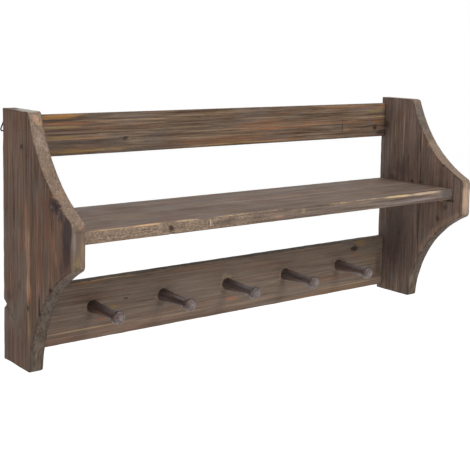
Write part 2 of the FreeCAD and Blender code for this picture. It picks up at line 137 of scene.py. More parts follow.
def makeGrainGroup():
    # Stained softwood as a solid: years of uneven width round a far pith, streaks, fibres,
    # pores and patches. Place is in millimetres with the grain along Z.
    tree = bpy.data.node_groups.new("sawnGrain", "ShaderNodeTree")
    black = (0, 0, 0, 1)
    given = addSockets(tree, (
        ("Place", "Vector", (0, 0, 0)), ("Pith", "Vector", (70, 40, 0)),
        ("Ring Width", "Float", 5.0), ("Ring Depth", "Float", 0.3),
        ("Streak Depth", "Float", 1.0), ("Warm Amount", "Float", 0.5),
        ("Grey Amount", "Float", 0.5), ("Dark", "Color", black), ("Middle", "Color", black),
        ("Light", "Color", black), ("Warm", "Color", black), ("Grey", "Color", black),
    ), (("Colour", "Color"), ("Height", "Float"), ("Streak", "Float"), ("Shade", "Float")))
    place = given["Place"]

    wander = grainNoise(tree, place, (0.012, 0.012, 0.0022), 2.0)
    ripple = grainNoise(tree, place, (0.06, 0.06, 0.005), 3.0)
    shifted = vectorCalc(tree, "ADD", place, given["Pith"])
    radius = vectorCalc(tree, "LENGTH", vectorCalc(tree, "MULTIPLY", shifted, (1, 1, 0)))
    radius = calc(tree, "MULTIPLY_ADD", wander, 34.0, radius)
    radius = calc(tree, "MULTIPLY_ADD", ripple, 8.0, radius)
    uneven = addNode(tree, "ShaderNodeTexNoise", {
        "W": times(tree, radius, 0.06), "Scale": 1.0, "Detail": 3.0,
    }, noise_dimensions="1D").outputs[0]
    radius = calc(tree, "MULTIPLY_ADD", uneven, 30.0, radius)
    turn = calc(tree, "FRACT", calc(tree, "DIVIDE", radius, given["Ring Width"]))
    late = times(tree, ease(tree, turn, 0.2, 0.86), ease(tree, turn, 0.9, 1.0, 1.0, 0.0))
    patchy = grainNoise(tree, place, (0.03, 0.03, 0.006), 3.0, 0.6)
    late = times(tree, late, ease(tree, patchy, 0.38, 0.62, 0.15, 1.0))

    broad = grainNoise(tree, place, (0.14, 0.14, 0.0034), 5.0, 0.62)
    narrow = grainNoise(tree, place, (0.44, 0.44, 0.010), 6.0, 0.66)
    fibre = grainNoise(tree, place, (1.9, 1.9, 0.045), 3.0, 0.7)
    streak = calc(tree, "MULTIPLY_ADD", narrow, 0.45, times(tree, broad, 0.55))
    hue = grainNoise(tree, place, (0.09, 0.09, 0.0032), 4.0, 0.6)
    cloud = grainNoise(tree, place, (0.034, 0.034, 0.012), 4.0, 0.6)
    pore = grainNoise(tree, place, (1.1, 1.1, 0.09), 2.0, 0.5)
    speck = grainNoise(tree, place, (0.9, 0.9, 0.6), 3.0, 0.7)

    colour = mixColour(tree, ease(tree, streak, 0.4, 0.51), given["Dark"], given["Middle"])
    colour = mixColour(tree, ease(tree, streak, 0.5, 0.62), colour, given["Light"])
    warmth = times(tree, ease(tree, hue, 0.47, 0.62), given["Warm Amount"])
    colour = mixColour(tree, warmth, colour, given["Warm"])
    greyness = times(tree, ease(tree, cloud, 0.42, 0.64), given["Grey Amount"])
    colour = mixColour(tree, greyness, colour, given["Grey"])
    shade = calc(tree, "SUBTRACT", 1.0, times(tree, late, given["Ring Depth"]))
    for texture, low, high, least, most in (
            (narrow, 0.34, 0.66, -0.19, 0.19), (fibre, 0.3, 0.7, -0.13, 0.13),
            (pore, 0.6, 0.74, 0.0, -0.3), (speck, 0.3, 0.7, -0.1, 0.1)):
        change = ease(tree, texture, low, high, least, most)
        change = times(tree, change, given["Streak Depth"])
        shade = times(tree, shade, calc(tree, "ADD", change, 1.0))
    colour = mixColour(tree, 1.0, colour, shade, "MULTIPLY")
    height = calc(tree, "MULTIPLY_ADD", late, -0.35, times(tree, fibre, 0.8))
    height = calc(tree, "MULTIPLY_ADD", narrow, 1.1, height)

    addNode(tree, "NodeGroupOutput", {
        "Colour": colour, "Height": height, "Streak": streak, "Shade": shade})
    return tree


def makeSpotGroup():
    # A soft ellipsoid whose edge is torn by a noise from outside, for knots and stains.
    tree = bpy.data.node_groups.new("raggedSpot", "ShaderNodeTree")
    given = addSockets(tree, (
        ("Place", "Vector", (0, 0, 0)), ("Centre", "Vector", (0, 0, 0)),
        ("Size", "Vector", (10, 10, 10)), ("Soft", "Float", 0.5),
        ("Ragged", "Float", 0.5), ("Wobble", "Float", 0.5),
    ), (("Amount", "Float"),))
    away = vectorCalc(tree, "SUBTRACT", given["Place"], given["Centre"])
    distance = vectorCalc(tree, "LENGTH", vectorCalc(tree, "DIVIDE", away, given["Size"]))
    torn = times(tree, calc(tree, "SUBTRACT", given["Wobble"], 0.5), given["Ragged"])
    distance = calc(tree, "MULTIPLY_ADD", torn, 4.0, distance)
    inner = calc(tree, "SUBTRACT", 1.0, given["Soft"])
    addNode(tree, "NodeGroupOutput", {"Amount": ease(tree, distance, inner, 1.0, 1.0, 0.0)})
    return tree


grainGroup = makeGrainGroup()
spotGroup = makeSpotGroup()

woodTones = {
    "dark": tone(70, 52, 43),
    "middle": tone(100, 80, 67),
    "light": tone(128, 107, 90),
    "warm": tone(124, 82, 60),
    "grey": tone(98, 88, 80),
    "worn": tone(172, 142, 112),
    "arrisDark": tone(50, 40, 36),
    "knot": tone(48, 37, 32),
}


def makeWood(name, grain, look, knots=(), marks=()):
    # grain is the axis the fibres follow. knots are (centre, radii); marks are (centre,
    # radii, softness, raggedness, tone, strength), all in millimetres.
    material, tree, shader = newMaterial(name)
    where = addNode(tree, "ShaderNodeTexCoord").outputs["Object"]
    place = vectorCalc(tree, "MULTIPLY", where, (1000, 1000, 1000))
    order = {"X": (1, 2, 0), "Y": (0, 2, 1), "Z": (0, 1, 2)}[grain]

    def turnedAlong(vector):
        split = addNode(tree, "ShaderNodeSeparateXYZ", {0: vector}).outputs
        return addNode(tree, "ShaderNodeCombineXYZ", {
            0: split[order[0]], 1: split[order[1]], 2: split[order[2]]}).outputs[0]

    wobble = grainNoise(tree, turnedAlong(place), (0.17, 0.17, 0.035), 5.0, 0.68)

    def spot(centre, radii, soft, ragged):
        made = tree.nodes.new("ShaderNodeGroup")
        made.node_tree = spotGroup
        for key, value in (("Centre", centre), ("Size", radii), ("Soft", soft),
                           ("Ragged", ragged)):
            made.inputs[key].default_value = value
        tree.links.new(place, made.inputs["Place"])
        tree.links.new(wobble, made.inputs["Wobble"])
        return made.outputs[0]

    # The grain opens in front of each knot and closes again behind it.
    parted = place
    for centre, radii in knots:
        reach = [value * 2.4 for value in radii]
        reach["XYZ".index(grain)] *= 2.2
        pull = times(tree, spot(centre, tuple(reach), 1.0, 0.1), 0.72)
        inward = vectorCalc(tree, "SUBTRACT", centre, place)
        pulled = addNode(tree, "ShaderNodeVectorMath", {0: inward, "Scale": pull},
                         operation="SCALE").outputs[0]
        parted = vectorCalc(tree, "ADD", parted, pulled)

    wood = addNode(tree, "ShaderNodeGroup", node_tree=grainGroup)
    tree.links.new(turnedAlong(parted), wood.inputs["Place"])
    for key, socket in (("pith", "Pith"), ("ringWidth", "Ring Width"), ("ringDepth", "Ring Depth"),
                        ("streakDepth", "Streak Depth"), ("warmAmount", "Warm Amount"),
                        ("greyAmount", "Grey Amount")):
        wood.inputs[socket].default_value = look[key]
    for socket in ("Dark", "Middle", "Light", "Warm", "Grey"):
        wood.inputs[socket].default_value = look.get(socket.lower(), woodTones[socket.lower()])
    colour = wood.outputs["Colour"]

    if "rimLight" in look:
        # Sawn edges and cut ends, where the stain wore thinner. Past the farRim levels they turn to
        # the far tones, which on the side boards are a painted shade on the lower band.
        rim = addNode(tree, "ShaderNodeAttribute", attribute_name="rim").outputs["Fac"]
        rim = times(tree, rim, look["rimAmount"])
        cloud = grainNoise(tree, place, look["rimScale"], 5.0, 0.7)
        cloud = ease(tree, cloud, 0.38, 0.62)
        rimColour = mixColour(tree, cloud, look["rimDark"], look["rimLight"])
        axis, near, far, farDark, farLight = look["farRim"]
        along = addNode(tree, "ShaderNodeSeparateXYZ", {0: place}).outputs["XYZ".index(axis)]
        streaks = ease(tree, wood.outputs["Streak"], 0.42, 0.58)
        farColour = mixColour(tree, streaks, farDark, farLight)
        rimColour = mixColour(tree, ease(tree, along, near, far), rimColour, farColour)
        shade = ease(tree, wood.outputs["Shade"], 0.4, 1.4, 0.7, 1.25)
        rimColour = mixColour(tree, 1.0, rimColour, shade, "MULTIPLY")
        colour = mixColour(tree, rim, colour, rimColour)

    worn = addNode(tree, "ShaderNodeAttribute", attribute_name="wear").outputs["Fac"]
    rub = grainNoise(tree, place, (0.045, 0.045, 0.045), 6.0, 0.72)
    rubbed = times(tree, ease(tree, worn, 0.35, 1.0),
                   ease(tree, rub, look["wearFrom"], look["wearFrom"] + 0.16))
    rubbed = times(tree, rubbed, look["wearAmount"])
    # the arrises turn darker, towards arrisDark, where the wear attribute is high; arrisShade sets
    # how much
    arrisDarkening = ease(tree, worn, 0.25, 0.95)
    arrisDarkening = times(tree, arrisDarkening, ease(tree, rub, 0.34, 0.6, 1.0, 0.5))
    arrisDarkening = times(tree, arrisDarkening, look["arrisShade"])
    colour = mixColour(tree, arrisDarkening, colour, woodTones["arrisDark"])

    streaky = ease(tree, wood.outputs["Streak"], 0.4, 0.56, 0.6, 1.0)
    shade = ease(tree, wood.outputs["Shade"], 0.5, 1.3, 0.78, 1.18)
    for centre, radii in knots:
        halo = spot(centre, tuple(radius * 1.5 for radius in radii), 0.6, 0.6)
        colour = mixColour(tree, times(tree, halo, 0.5), colour, woodTones["dark"])
        core = spot(centre, radii, 0.5, 0.6)
        colour = mixColour(tree, times(tree, core, 0.8), colour, woodTones["knot"])
    for centre, radii, soft, ragged, markTone, strength in marks:
        amount = times(tree, spot(centre, radii, soft, ragged), streaky)
        amount = times(tree, amount, strength)
        shaded = mixColour(tree, 1.0, tone(*markTone), shade, "MULTIPLY")
        colour = mixColour(tree, amount, colour, shaded)
    colour = mixColour(tree, rubbed, colour, look.get("worn", woodTones["worn"]))
    tree.links.new(colour, shader.inputs["Base Color"])

    gloss = grainNoise(tree, place, (0.02, 0.02, 0.02), 3.0)
    tree.links.new(ease(tree, gloss, 0.3, 0.7, look["rough"] - 0.07, look["rough"] + 0.09),
                   shader.inputs["Roughness"])
    shader.inputs["Specular IOR Level"].default_value = look["specular"]
    bump = addNode(tree, "ShaderNodeBump", {
        "Height": wood.outputs["Height"], "Strength": look["bump"], "Distance": 0.0006})
    tree.links.new(bump.outputs[0], shader.inputs["Normal"])
    return material


boardLook = {
    "pith": (70, 45, 0), "ringWidth": 5.5, "ringDepth": 0.28, "streakDepth": 1.0,
    "warmAmount": 0.45, "greyAmount": 0.5,
    "wearFrom": 0.5, "wearAmount": 0.35, "arrisShade": 0.35,
    "rough": 0.68, "specular": 0.14, "bump": 0.4,
}

def addPiece(name, verts, faces, **values):
    # values are numbers per point, such as wear and rim, kept for the materials.
    mesh = bpy.data.meshes.new(name)
    mesh.from_pydata([tuple(v) for v in verts], [], faces)
    for key, numbers in values.items():
        mesh.attributes.new(key, "FLOAT", "POINT").data.foreach_set("value", numbers)
    mesh.shade_smooth()
    return addObject(name, mesh)


def settle(piece, body, nodes, material):
    # The last step for every piece: its finish, body, slot and the solids it stands for.
    piece.data.materials.clear()
    piece.data.materials.append(material)
    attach(piece, body)
    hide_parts(*nodes)


chips = {"scale": 0.3, "depth": 0.8}                    # coarser wear on top of the fine one
arrisSteps = 5                                          # facets round a rounded arris
firstStop = 0.4                                         # of the reach, beside an arris


def weather(piece, rough, dents=()):
    # Moves points in along their normals: uneven arrises, a rippled face and single dents.
    mesh = piece.data
    worn = [entry.value for entry in mesh.attributes["wear"].data]
    rims = [entry.value for entry in mesh.attributes["rim"].data]
    normals = [Vector(entry.vector) for entry in mesh.vertex_normals]
    for vertex, wear, rim, normal in zip(mesh.vertices, worn, rims, normals):
        place = vertex.co.copy()
        arris = noise.noise(place * rough["arrisScale"]) * 0.5 + 0.5
        chip = noise.noise(place * rough["arrisScale"] * chips["scale"] + Vector((5, 1, 2)))
        arris += max(0.0, chip) * chips["depth"]
        inset = rough["arris"] * wear * arris
        ripple = noise.noise(place * rough["faceScale"] + Vector((7, 3, 5))) * 0.5 + 0.5
        inset += rough["face"] * ripple
        sawn = noise.noise(place * rough["rimScale"]) * 0.5 + 0.5
        inset += rough["rim"] * rim * sawn
        moved = normal * -inset
        for centre, radius, depth, direction in dents:
            near = 1 - (place - Vector(centre)).length / radius
            if near > 0:
                moved += Vector(direction) * depth * min(1.0, near * 1.6)
        vertex.co = place + moved
    mesh.update()


def spread(low, high, spacing):
    count = max(1, round((high - low) / spacing))
    return [low + (high - low) * i / count for i in range(count + 1)]


def sectionLoop(low, high, look):
    # Rounded rectangle in the YZ plane, anticlockwise seen from +X, as (y, z, wear, rim).
    # Its sides are the back, the top, the front and the underside.
    arris, reach = look["arris"], look["reach"]
    corners = [
        (high.y, low.z, -1, 1, -90, arris["back"]), (high.y, high.z, -1, -1, 0, arris["back"]),
        (low.y, high.z, 1, -1, 90, arris["frontTop"]), (low.y, low.z, 1, 1, 180, arris["frontLow"])]
    loop = []
    for number, (y, z, sy, sz, start, radius) in enumerate(corners):
        centre = Vector((y + sy * radius, z + sz * radius))
        onFront = number >= 2
        for step in range(arrisSteps + 1):
            turn = math.radians(start + 90 * step / arrisSteps)
            loop.append((centre.x + radius * math.cos(turn),
                         centre.y + radius * math.sin(turn), 1.0, 1.0 if onFront else 0.0))
        nextY, nextZ, nextSy, nextSz, nextStart, nextRadius = corners[(number + 1) % 4]
        here = Vector(loop[-1][:2])
        nextTurn = math.radians(nextStart)
        there = Vector((nextY + nextSy * nextRadius, nextZ + nextSz * nextRadius))
        there += Vector((math.cos(nextTurn), math.sin(nextTurn))) * nextRadius
        run = (there - here).length
        way = (there - here).normalized()
        side = ("back", "top", "front", "under")[number]
        first = reach * firstStop
        stops = [first] + spread(reach, run - reach, look["spacing"][side]) + [run - first]
        for at in stops:
            point = here + way * at
            worn = max(0.0, 1 - min(at, run - at) / reach) * 0.8
            loop.append((point.x, point.y, worn, 1.0 if side == "front" else 0.0))
    return loop


def makePlank(name, node, look):
    # A board along X that fills its solid's box, with stations close enough to weather.
    low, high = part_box(node)
    loop = sectionLoop(low, high, look)
    stations = spread(low.x, high.x, look["station"])
    verts, wear, rim, faces = [], [], [], []
    for x in stations:
        for y, z, worn, front in loop:
            verts.append((x, y, z))
            wear.append(worn)
            rim.append(front)
    size = len(loop)
    for i in range(len(stations) - 1):
        for j in range(size):
            k = (j + 1) % size
            faces.append((i * size + j, i * size + k, (i + 1) * size + k, (i + 1) * size + j))
    faces.append(list(reversed(range(size))))
    faces.append([(len(stations) - 1) * size + j for j in range(size)])
    piece = addPiece(name, verts, faces, wear=wear, rim=rim)
    weather(piece, look["rough"], look.get("dents", ()))
    return piece


wide = 0.0075                                           # between points on a plain face
plankLook = {
    "shelf": {
        "arris": {"back": 0.0006, "frontTop": 0.0016, "frontLow": 0.0012},
        "reach": 0.0026, "station": 0.0017,
        "spacing": {"back": wide, "top": wide, "front": 0.0015, "under": wide},
        "rough": {"arris": 0.0009, "arrisScale": 75, "face": 0.00016, "faceScale": 22,
                  "rim": 0.0006, "rimScale": 330},
        "dents": [((-0.2260, -0.1825, 0.1400), 0.0055, 0.0022, (0, 0.7, 0.5)),
                  ((-0.2310, -0.1825, 0.1595), 0.0045, 0.0016, (0, 0.7, -0.7)),
                  ((-0.1595, -0.1825, 0.1585), 0.0045, 0.0012, (0, 0.7, -0.7)),
                  ((0.1350, -0.1825, 0.1590), 0.0045, 0.0011, (0, 0.7, -0.7))],
    },
    "upperRail": {
        "arris": {"back": 0.0006, "frontTop": 0.0012, "frontLow": 0.0012},
        "reach": 0.0024, "station": 0.0032,
        "spacing": {"back": wide, "top": wide, "front": 0.0050, "under": wide},
        "rough": {"arris": 0.0006, "arrisScale": 60, "face": 0.00014, "faceScale": 18,
                  "rim": 0.00022, "rimScale": 90},
    },
    "pegRail": {
        "arris": {"back": 0.0006, "frontTop": 0.0014, "frontLow": 0.0012},
        "reach": 0.0026, "station": 0.0032,
        "spacing": {"back": wide, "top": wide, "front": 0.0050, "under": wide},
        "rough": {"arris": 0.0008, "arrisScale": 60, "face": 0.00016, "faceScale": 18,
                  "rim": 0.00022, "rimScale": 90},
    },
}


def onFace(axis, level, depth, rows):
    # Marks on one face. A centre or radii of two numbers lack the one across the face,
    # which is the face's level or the marks' usual depth.
    at = "XYZ".index(axis)

    def full(numbers, across):
        return numbers if len(numbers) == 3 else (*numbers[:at], across, *numbers[at:])

    return [(full(centre, level), full(radii, depth), *rest) for centre, radii, *rest in rows]


# Marks in millimetres: centre, radii, softness, raggedness, tone, strength.
shelfKnots = [((-229, -182, 149.5), (5, 4, 5))]
shelfMarks = onFace("Z", 159, 3, [
    # top: pale streaks, a brown front and greyer clouds
    ((-70, -88.5), (105, 2.4), 0.5, 0.3, (158, 138, 116), 0.75),
    ((140, -90.5), (120, 2), 0.5, 0.3, (146, 128, 110), 0.6),
    ((325, -86.5), (70, 3), 0.6, 0.35, (150, 132, 110), 0.65),
    ((-260, -118), (80, 26), 0.9, 0.5, (124, 104, 82), 0.65),
    ((-90, -147.5), (90, 18), 0.9, 0.5, (122, 102, 84), 0.45),
    ((120, -149.5), (120, 15), 0.9, 0.5, (122, 104, 86), 0.5),
    ((-81, -54.5), (55, 9), 0.9, 0.5, (94, 86, 84), 0.65),
    ((-330, -31.5), (60, 20), 0.9, 0.4, (112, 112, 112), 0.5),
    ((250, -42), (90, 12), 0.9, 0.5, (100, 88, 80), 0.5),
    ((-180, -63), (60, 2), 0.5, 0.4, (84, 72, 66), 0.6),
    ((40, -65), (80, 2.2), 0.5, 0.4, (88, 76, 70), 0.55),
    ((200, -115.5), (90, 1.6), 0.5, 0.4, (90, 76, 66), 0.55),
]) + [
    # front top arris, rubbed down to pale wood
    ((-330, -181, 159), (56, 3, 2.6), 0.6, 0.35, (188, 156, 122), 0.8),
    ((-272, -181, 159), (40, 3.4, 2.8), 0.6, 0.4, (206, 166, 126), 0.9),
    ((-200, -181, 159), (28, 2.8, 2.6), 0.6, 0.4, (196, 166, 134), 0.9),
    ((-120, -182, 159), (52, 2.6, 2.4), 0.5, 0.25, (206, 174, 140), 0.95),
    ((-40, -182, 159), (44, 2.2, 2.2), 0.5, 0.3, (198, 166, 132), 0.9),
    ((95, -182, 158), (36, 2.6, 2.8), 0.6, 0.5, (190, 158, 120), 0.8),
    ((168, -182, 159), (42, 2.4, 2.4), 0.5, 0.35, (208, 172, 132), 0.9),
    ((240, -182, 158), (46, 3.4, 3.6), 0.5, 0.35, (198, 172, 130), 0.95),
    ((305, -182, 158), (46, 3.8, 3.8), 0.5, 0.35, (196, 170, 146), 0.9),
    ((0, -1, 159), (400, 2.4, 2.6), 0.5, 0.2, (62, 55, 50), 0.85),
    ((-330, -6.5, 159), (70, 9, 3), 0.9, 0.4, (120, 120, 120), 0.55),
] + onFace("Y", -182, 3, [
    # front: knot, check, darker runs and the greyer right end
    ((-226, 141), (6, 4, 2.4), 0.5, 0.6, (30, 22, 20), 0.95),
    ((-232, 159), (2.4, 4, 3), 0.5, 0.6, (44, 34, 30), 0.9),
    ((-215, 150.5), (10, 6), 0.7, 0.7, (96, 78, 74), 0.6),
    ((-159.5, 150.5), (1.5, 7), 0.4, 0.15, (186, 168, 148), 0.85),
    ((-162.5, 150.5), (1.2, 7), 0.4, 0.15, (66, 54, 48), 0.7),
    ((-126, 150), (34, 6), 0.7, 0.5, (92, 80, 70), 0.8),
    ((-70, 150), (22, 5), 0.8, 0.5, (98, 84, 74), 0.7),
    ((-28, 147), (13, 4), 0.7, 0.6, (164, 132, 110), 0.65),
    ((0, 152), (10, 6), 0.8, 0.8, (128, 114, 100), 0.5),
    ((22, 152), (4, 6), 0.7, 0.6, (156, 134, 100), 0.6),
    ((12, 152), (1.4, 6), 0.4, 0.3, (92, 76, 64), 0.6),
    ((80, 148.5), (50, 3), 0.7, 0.4, (104, 92, 86), 0.6),
    ((270, 147), (110, 4), 0.6, 0.3, (134, 124, 120), 0.75),
    ((-296, 140), (84, 2.2), 0.6, 0.35, (188, 152, 114), 0.85),
    ((-374, 149), (3, 10), 0.6, 0.4, (190, 162, 136), 0.8),
    ((362, 151), (22, 6, 13), 0.8, 0.4, (90, 85, 84), 0.9),
])
upperRailKnots = [((-199, -10, 261.5), (4, 4, 3.2)), ((350, -10, 257.5), (6, 4, 4.5))]
upperRailMarks = onFace("Y", -10, 3, [
    ((140, 302.5), (280, 2.6, 1.6), 0.5, 0.3, (74, 62, 54), 0.8),
    # left end, in bands from the top down
    ((-312, 299), (44, 4.4), 0.5, 0.3, (176, 128, 74), 0.85),
    ((-312, 293), (48, 1.8), 0.4, 0.3, (80, 66, 60), 0.85),
    ((-306, 287.5), (52, 3.2), 0.5, 0.3, (162, 114, 84), 0.85),
    ((-316, 282.5), (44, 2.2), 0.5, 0.3, (142, 122, 84), 0.75),
    ((-296, 278), (66, 1.4), 0.4, 0.25, (84, 62, 52), 0.8),
    ((-300, 275), (60, 2), 0.5, 0.3, (122, 100, 88), 0.65),
    ((-290, 271.5), (66, 1.6), 0.4, 0.3, (80, 58, 46), 0.85),
    ((-318, 267), (40, 2.4), 0.5, 0.3, (152, 124, 74), 0.75),
    ((-270, 265), (46, 2.4), 0.5, 0.3, (150, 112, 82), 0.75),
    ((-290, 259), (64, 2.8), 0.6, 0.3, (78, 70, 66), 0.8),
    ((-312, 253.5), (36, 2.6), 0.6, 0.4, (90, 80, 70), 0.65),
    ((-266, 251), (26, 2.2), 0.6, 0.3, (118, 96, 92), 0.6),
    ((-280, 246), (84, 3.6), 0.6, 0.4, (160, 126, 78), 0.8),
    # middle
    ((-180, 290), (80, 1.5), 0.5, 0.4, (156, 130, 104), 0.65),
    ((-178, 256.5), (24, 6), 0.8, 0.9, (156, 134, 112), 0.5),
    ((-210, 249), (60, 2), 0.6, 0.4, (142, 112, 76), 0.55),
    ((-90, 275.5), (90, 3), 0.7, 0.4, (136, 118, 92), 0.55),
    ((-60, 261.5), (80, 2.4), 0.6, 0.4, (100, 82, 68), 0.55),
    ((-20, 267.5), (90, 1.4), 0.5, 0.3, (148, 124, 96), 0.6),
    ((10, 297), (80, 3), 0.7, 0.5, (130, 106, 82), 0.5),
    ((30, 243.5), (130, 2.4), 0.6, 0.35, (164, 130, 90), 0.75),
    ((60, 284.5), (70, 1.6), 0.5, 0.35, (150, 126, 98), 0.65),
    ((90, 290), (70, 1.4), 0.5, 0.3, (84, 68, 58), 0.6),
    ((105, 251), (60, 4), 0.7, 0.5, (98, 88, 80), 0.6),
    ((120, 265.5), (90, 2.4), 0.5, 0.4, (150, 102, 72), 0.8),
    ((130, 276.5), (110, 1.6), 0.5, 0.3, (92, 74, 62), 0.6),
    # right end
    ((200, 251), (30, 5), 0.8, 0.6, (120, 102, 94), 0.55),
    ((235, 269.5), (100, 2), 0.5, 0.35, (152, 108, 80), 0.75),
    ((250, 278.5), (90, 1.4), 0.5, 0.3, (140, 122, 100), 0.55),
    ((265.5, 261.5), (1.6, 17), 0.5, 0.25, (76, 50, 42), 0.75),
    ((276, 257.5), (11, 6), 0.7, 0.6, (148, 104, 76), 0.55),
    ((270, 299), (110, 4), 0.7, 0.4, (148, 114, 84), 0.75),
    ((368, 297), (14, 5), 0.7, 0.5, (154, 108, 78), 0.7),
    ((350, 288), (26, 3.4), 0.7, 0.4, (132, 118, 76), 0.65),
    ((330, 276.5), (40, 1.4), 0.5, 0.3, (158, 126, 98), 0.65),
    ((366, 277.5), (16, 1.8), 0.5, 0.4, (164, 136, 90), 0.65),
    ((334, 265.5), (6, 12), 0.7, 0.7, (100, 94, 98), 0.6),
    # a painted shadow low on the right end, where the rail meets the right board
    ((366, 248), (20, 6), 0.7, 0.5, (58, 50, 44), 0.8),
    ((362, 259.5), (8, 4), 0.7, 0.7, (120, 92, 66), 0.5),
])
pegHoles = [-260, -130, 0, 130, 260]
pegRailKnots = [((300, -15, 31), (10, 4, 7))]
pegRailMarks = onFace("Y", -15, 3, [
    ((0, 4), (190, 60), 0.9, 0.3, (148, 128, 113), 0.45),
    # the long pale grain line, the browner strip under it and the rubbed top arris
    ((-265, -29), (100, 1.5), 0.5, 0.12, (172, 144, 114), 0.9),
    ((-110, -31.5), (105, 1.2), 0.5, 0.14, (158, 132, 106), 0.8),
    ((70, -34), (120, 1.4), 0.5, 0.14, (168, 142, 114), 0.85),
    ((285, -36), (110, 1.6), 0.5, 0.14, (172, 142, 110), 0.9),
    ((-300, -42.5), (90, 4, 8), 0.8, 0.3, (116, 84, 68), 0.55),
    ((-60, -43.5), (190, 4, 7), 0.8, 0.3, (100, 78, 62), 0.65),
    ((240, -42.5), (160, 4, 5), 0.8, 0.3, (142, 106, 76), 0.75),
    ((0, -6, 47), (420, 8.4, 2.2), 0.3, 0.1, (62, 53, 46), 0.9),
    ((-240, -15.5, 45), (66, 1.6, 1.7), 0.5, 0.25, (198, 166, 128), 0.95),
    ((-262, 42.5), (34, 2.6, 2.4), 0.6, 0.5, (172, 122, 84), 0.75),
    ((-193, 44.5), (16, 2.6, 2.4), 0.6, 0.6, (160, 140, 96), 0.75),
    # left part
    ((-200, 8.5), (6, 1.4), 0.5, 0.6, (48, 38, 36), 0.95),
    ((-160, -0.5), (26, 0.9), 0.4, 0.2, (58, 48, 46), 0.9),
    ((-166, -3.5), (30, 0.9), 0.5, 0.3, (140, 122, 104), 0.6),
    ((-262, 14.5), (34, 1.2), 0.6, 0.5, (70, 58, 54), 0.6),
    ((-308, 10.5), (10, 8), 0.8, 0.9, (132, 124, 114), 0.6),
    ((-282, 4), (6, 4), 0.7, 0.8, (136, 124, 110), 0.6),
    ((-224, -1), (10, 2.4), 0.7, 0.6, (166, 128, 62), 0.85),
    ((-243, -17.5), (16, 4), 0.7, 0.6, (142, 94, 72), 0.75),
    ((-158, 40.5), (10, 1.4), 0.6, 0.6, (66, 52, 44), 0.7),
    ((-80, 39.5), (62, 3), 0.8, 0.5, (136, 102, 82), 0.65),
    ((-115, -20.5), (26, 4), 0.8, 0.5, (126, 104, 84), 0.55),
    # middle and right
    ((11, -22.5), (16, 2.6), 0.6, 0.5, (176, 108, 78), 0.9),
    ((20, -28), (24, 1.6), 0.6, 0.5, (124, 108, 80), 0.6),
    ((-30, -13.5), (34, 1.4), 0.5, 0.3, (128, 112, 98), 0.5),
    ((103, -7), (14, 1.6), 0.6, 0.6, (160, 134, 110), 0.7),
    ((159, -22.5), (12, 3), 0.7, 0.6, (142, 108, 82), 0.6),
    ((95, 35), (40, 6), 0.9, 0.6, (112, 92, 76), 0.5),
    ((172, 34), (12, 8), 0.8, 0.6, (140, 110, 84), 0.6),
    ((188, 22.5), (22, 7), 0.8, 0.6, (134, 106, 80), 0.55),
    ((222, -5), (34, 1), 0.5, 0.3, (150, 130, 108), 0.7),
    ((240, -18.5), (40, 1.1), 0.5, 0.3, (164, 128, 98), 0.75),
    ((290, -18.5), (22, 3), 0.8, 0.6, (134, 98, 78), 0.55),
    ((282, 42.5), (16, 4), 0.8, 0.6, (106, 94, 102), 0.55),
    ((316, 40.5), (20, 8), 0.8, 0.6, (140, 116, 76), 0.75),
    ((304, 20.5), (12, 7), 0.8, 0.7, (146, 106, 72), 0.7),
    ((337, 6), (20, 8), 0.8, 0.6, (138, 120, 84), 0.6),
    ((365, -8.5), (12, 30), 0.9, 0.4, (64, 52, 46), 0.5),
])
for hole in pegHoles:
    # a pale halo rubbed round each peg, the peg's painted shadow below and to the left, and a
    # painted shade ring in the joint round its foot
    arch, paleness = (18.5, 0.85) if hole == 0 else (14.5, 0.45 if hole < 0 else 0.75)
    pegRailMarks += [
        ((hole - 1, -15, 4.5 + (arch - 14.5) * 0.6), (14.5, 3, arch), 0.35, 0.35,
         (176, 152, 130), paleness),
        ((hole - 5, -15, -7), (10, 3, 11), 0.9, 0.40, (70, 57, 51), 0.55),
        ((hole, -15, 4.5), (10.8, 3, 10.8), 0.25, 0.20, (44, 34, 32), 0.85),
    ]

longLook = {**boardLook, "streakDepth": 1.1}
shelfWood = makeWood("shelfWood", "X", {
    **longLook, "pith": (240, -90, 0), "ringWidth": 6.0, "ringDepth": 0.18, "warmAmount": 0.25,
    "dark": tone(92, 76, 66), "middle": tone(112, 96, 85), "light": tone(130, 114, 101),
    "grey": tone(112, 103, 98), "arrisShade": 0.15, "wearAmount": 0.25,
    "rimDark": tone(114, 97, 82), "rimLight": tone(160, 139, 118), "rimAmount": 0.85,
    "rimScale": (0.26, 0.4, 0.42),
    "farRim": ("X", -140, 10, tone(96, 82, 74), tone(128, 112, 99))}, shelfKnots, shelfMarks)
upperRailWood = makeWood("upperRailWood", "X", {
    **longLook, "pith": (60, -330, 0), "ringWidth": 5.0, "ringDepth": 0.3, "warmAmount": 0.5,
    "dark": tone(84, 66, 52), "middle": tone(114, 94, 76), "light": tone(138, 117, 98),
    "warm": tone(140, 100, 74), "grey": tone(110, 99, 92), "greyAmount": 0.5,
    "arrisShade": 0.2}, upperRailKnots, upperRailMarks)
pegRailWood = makeWood("pegRailWood", "X", {
    **longLook, "pith": (52, -40, 0), "ringWidth": 7.0, "ringDepth": 0.08, "warmAmount": 0.3,
    "streakDepth": 0.7, "dark": tone(116, 99, 86), "middle": tone(132, 114, 100),
    "light": tone(143, 125, 110), "grey": tone(128, 114, 102), "greyAmount": 0.7,
    "arrisShade": 0.5, "wearAmount": 0.2}, pegRailKnots, pegRailMarks)

for name, node, wood in (("shelf", "shelf", shelfWood),
                         ("upperRail", "upper_rail", upperRailWood),
                         ("pegRail", "peg_rail", pegRailWood)):
    board = makePlank(name + "Board", node, plankLook[name])
    settle(board, "rack", [node], wood)
print("shelf and rails made")


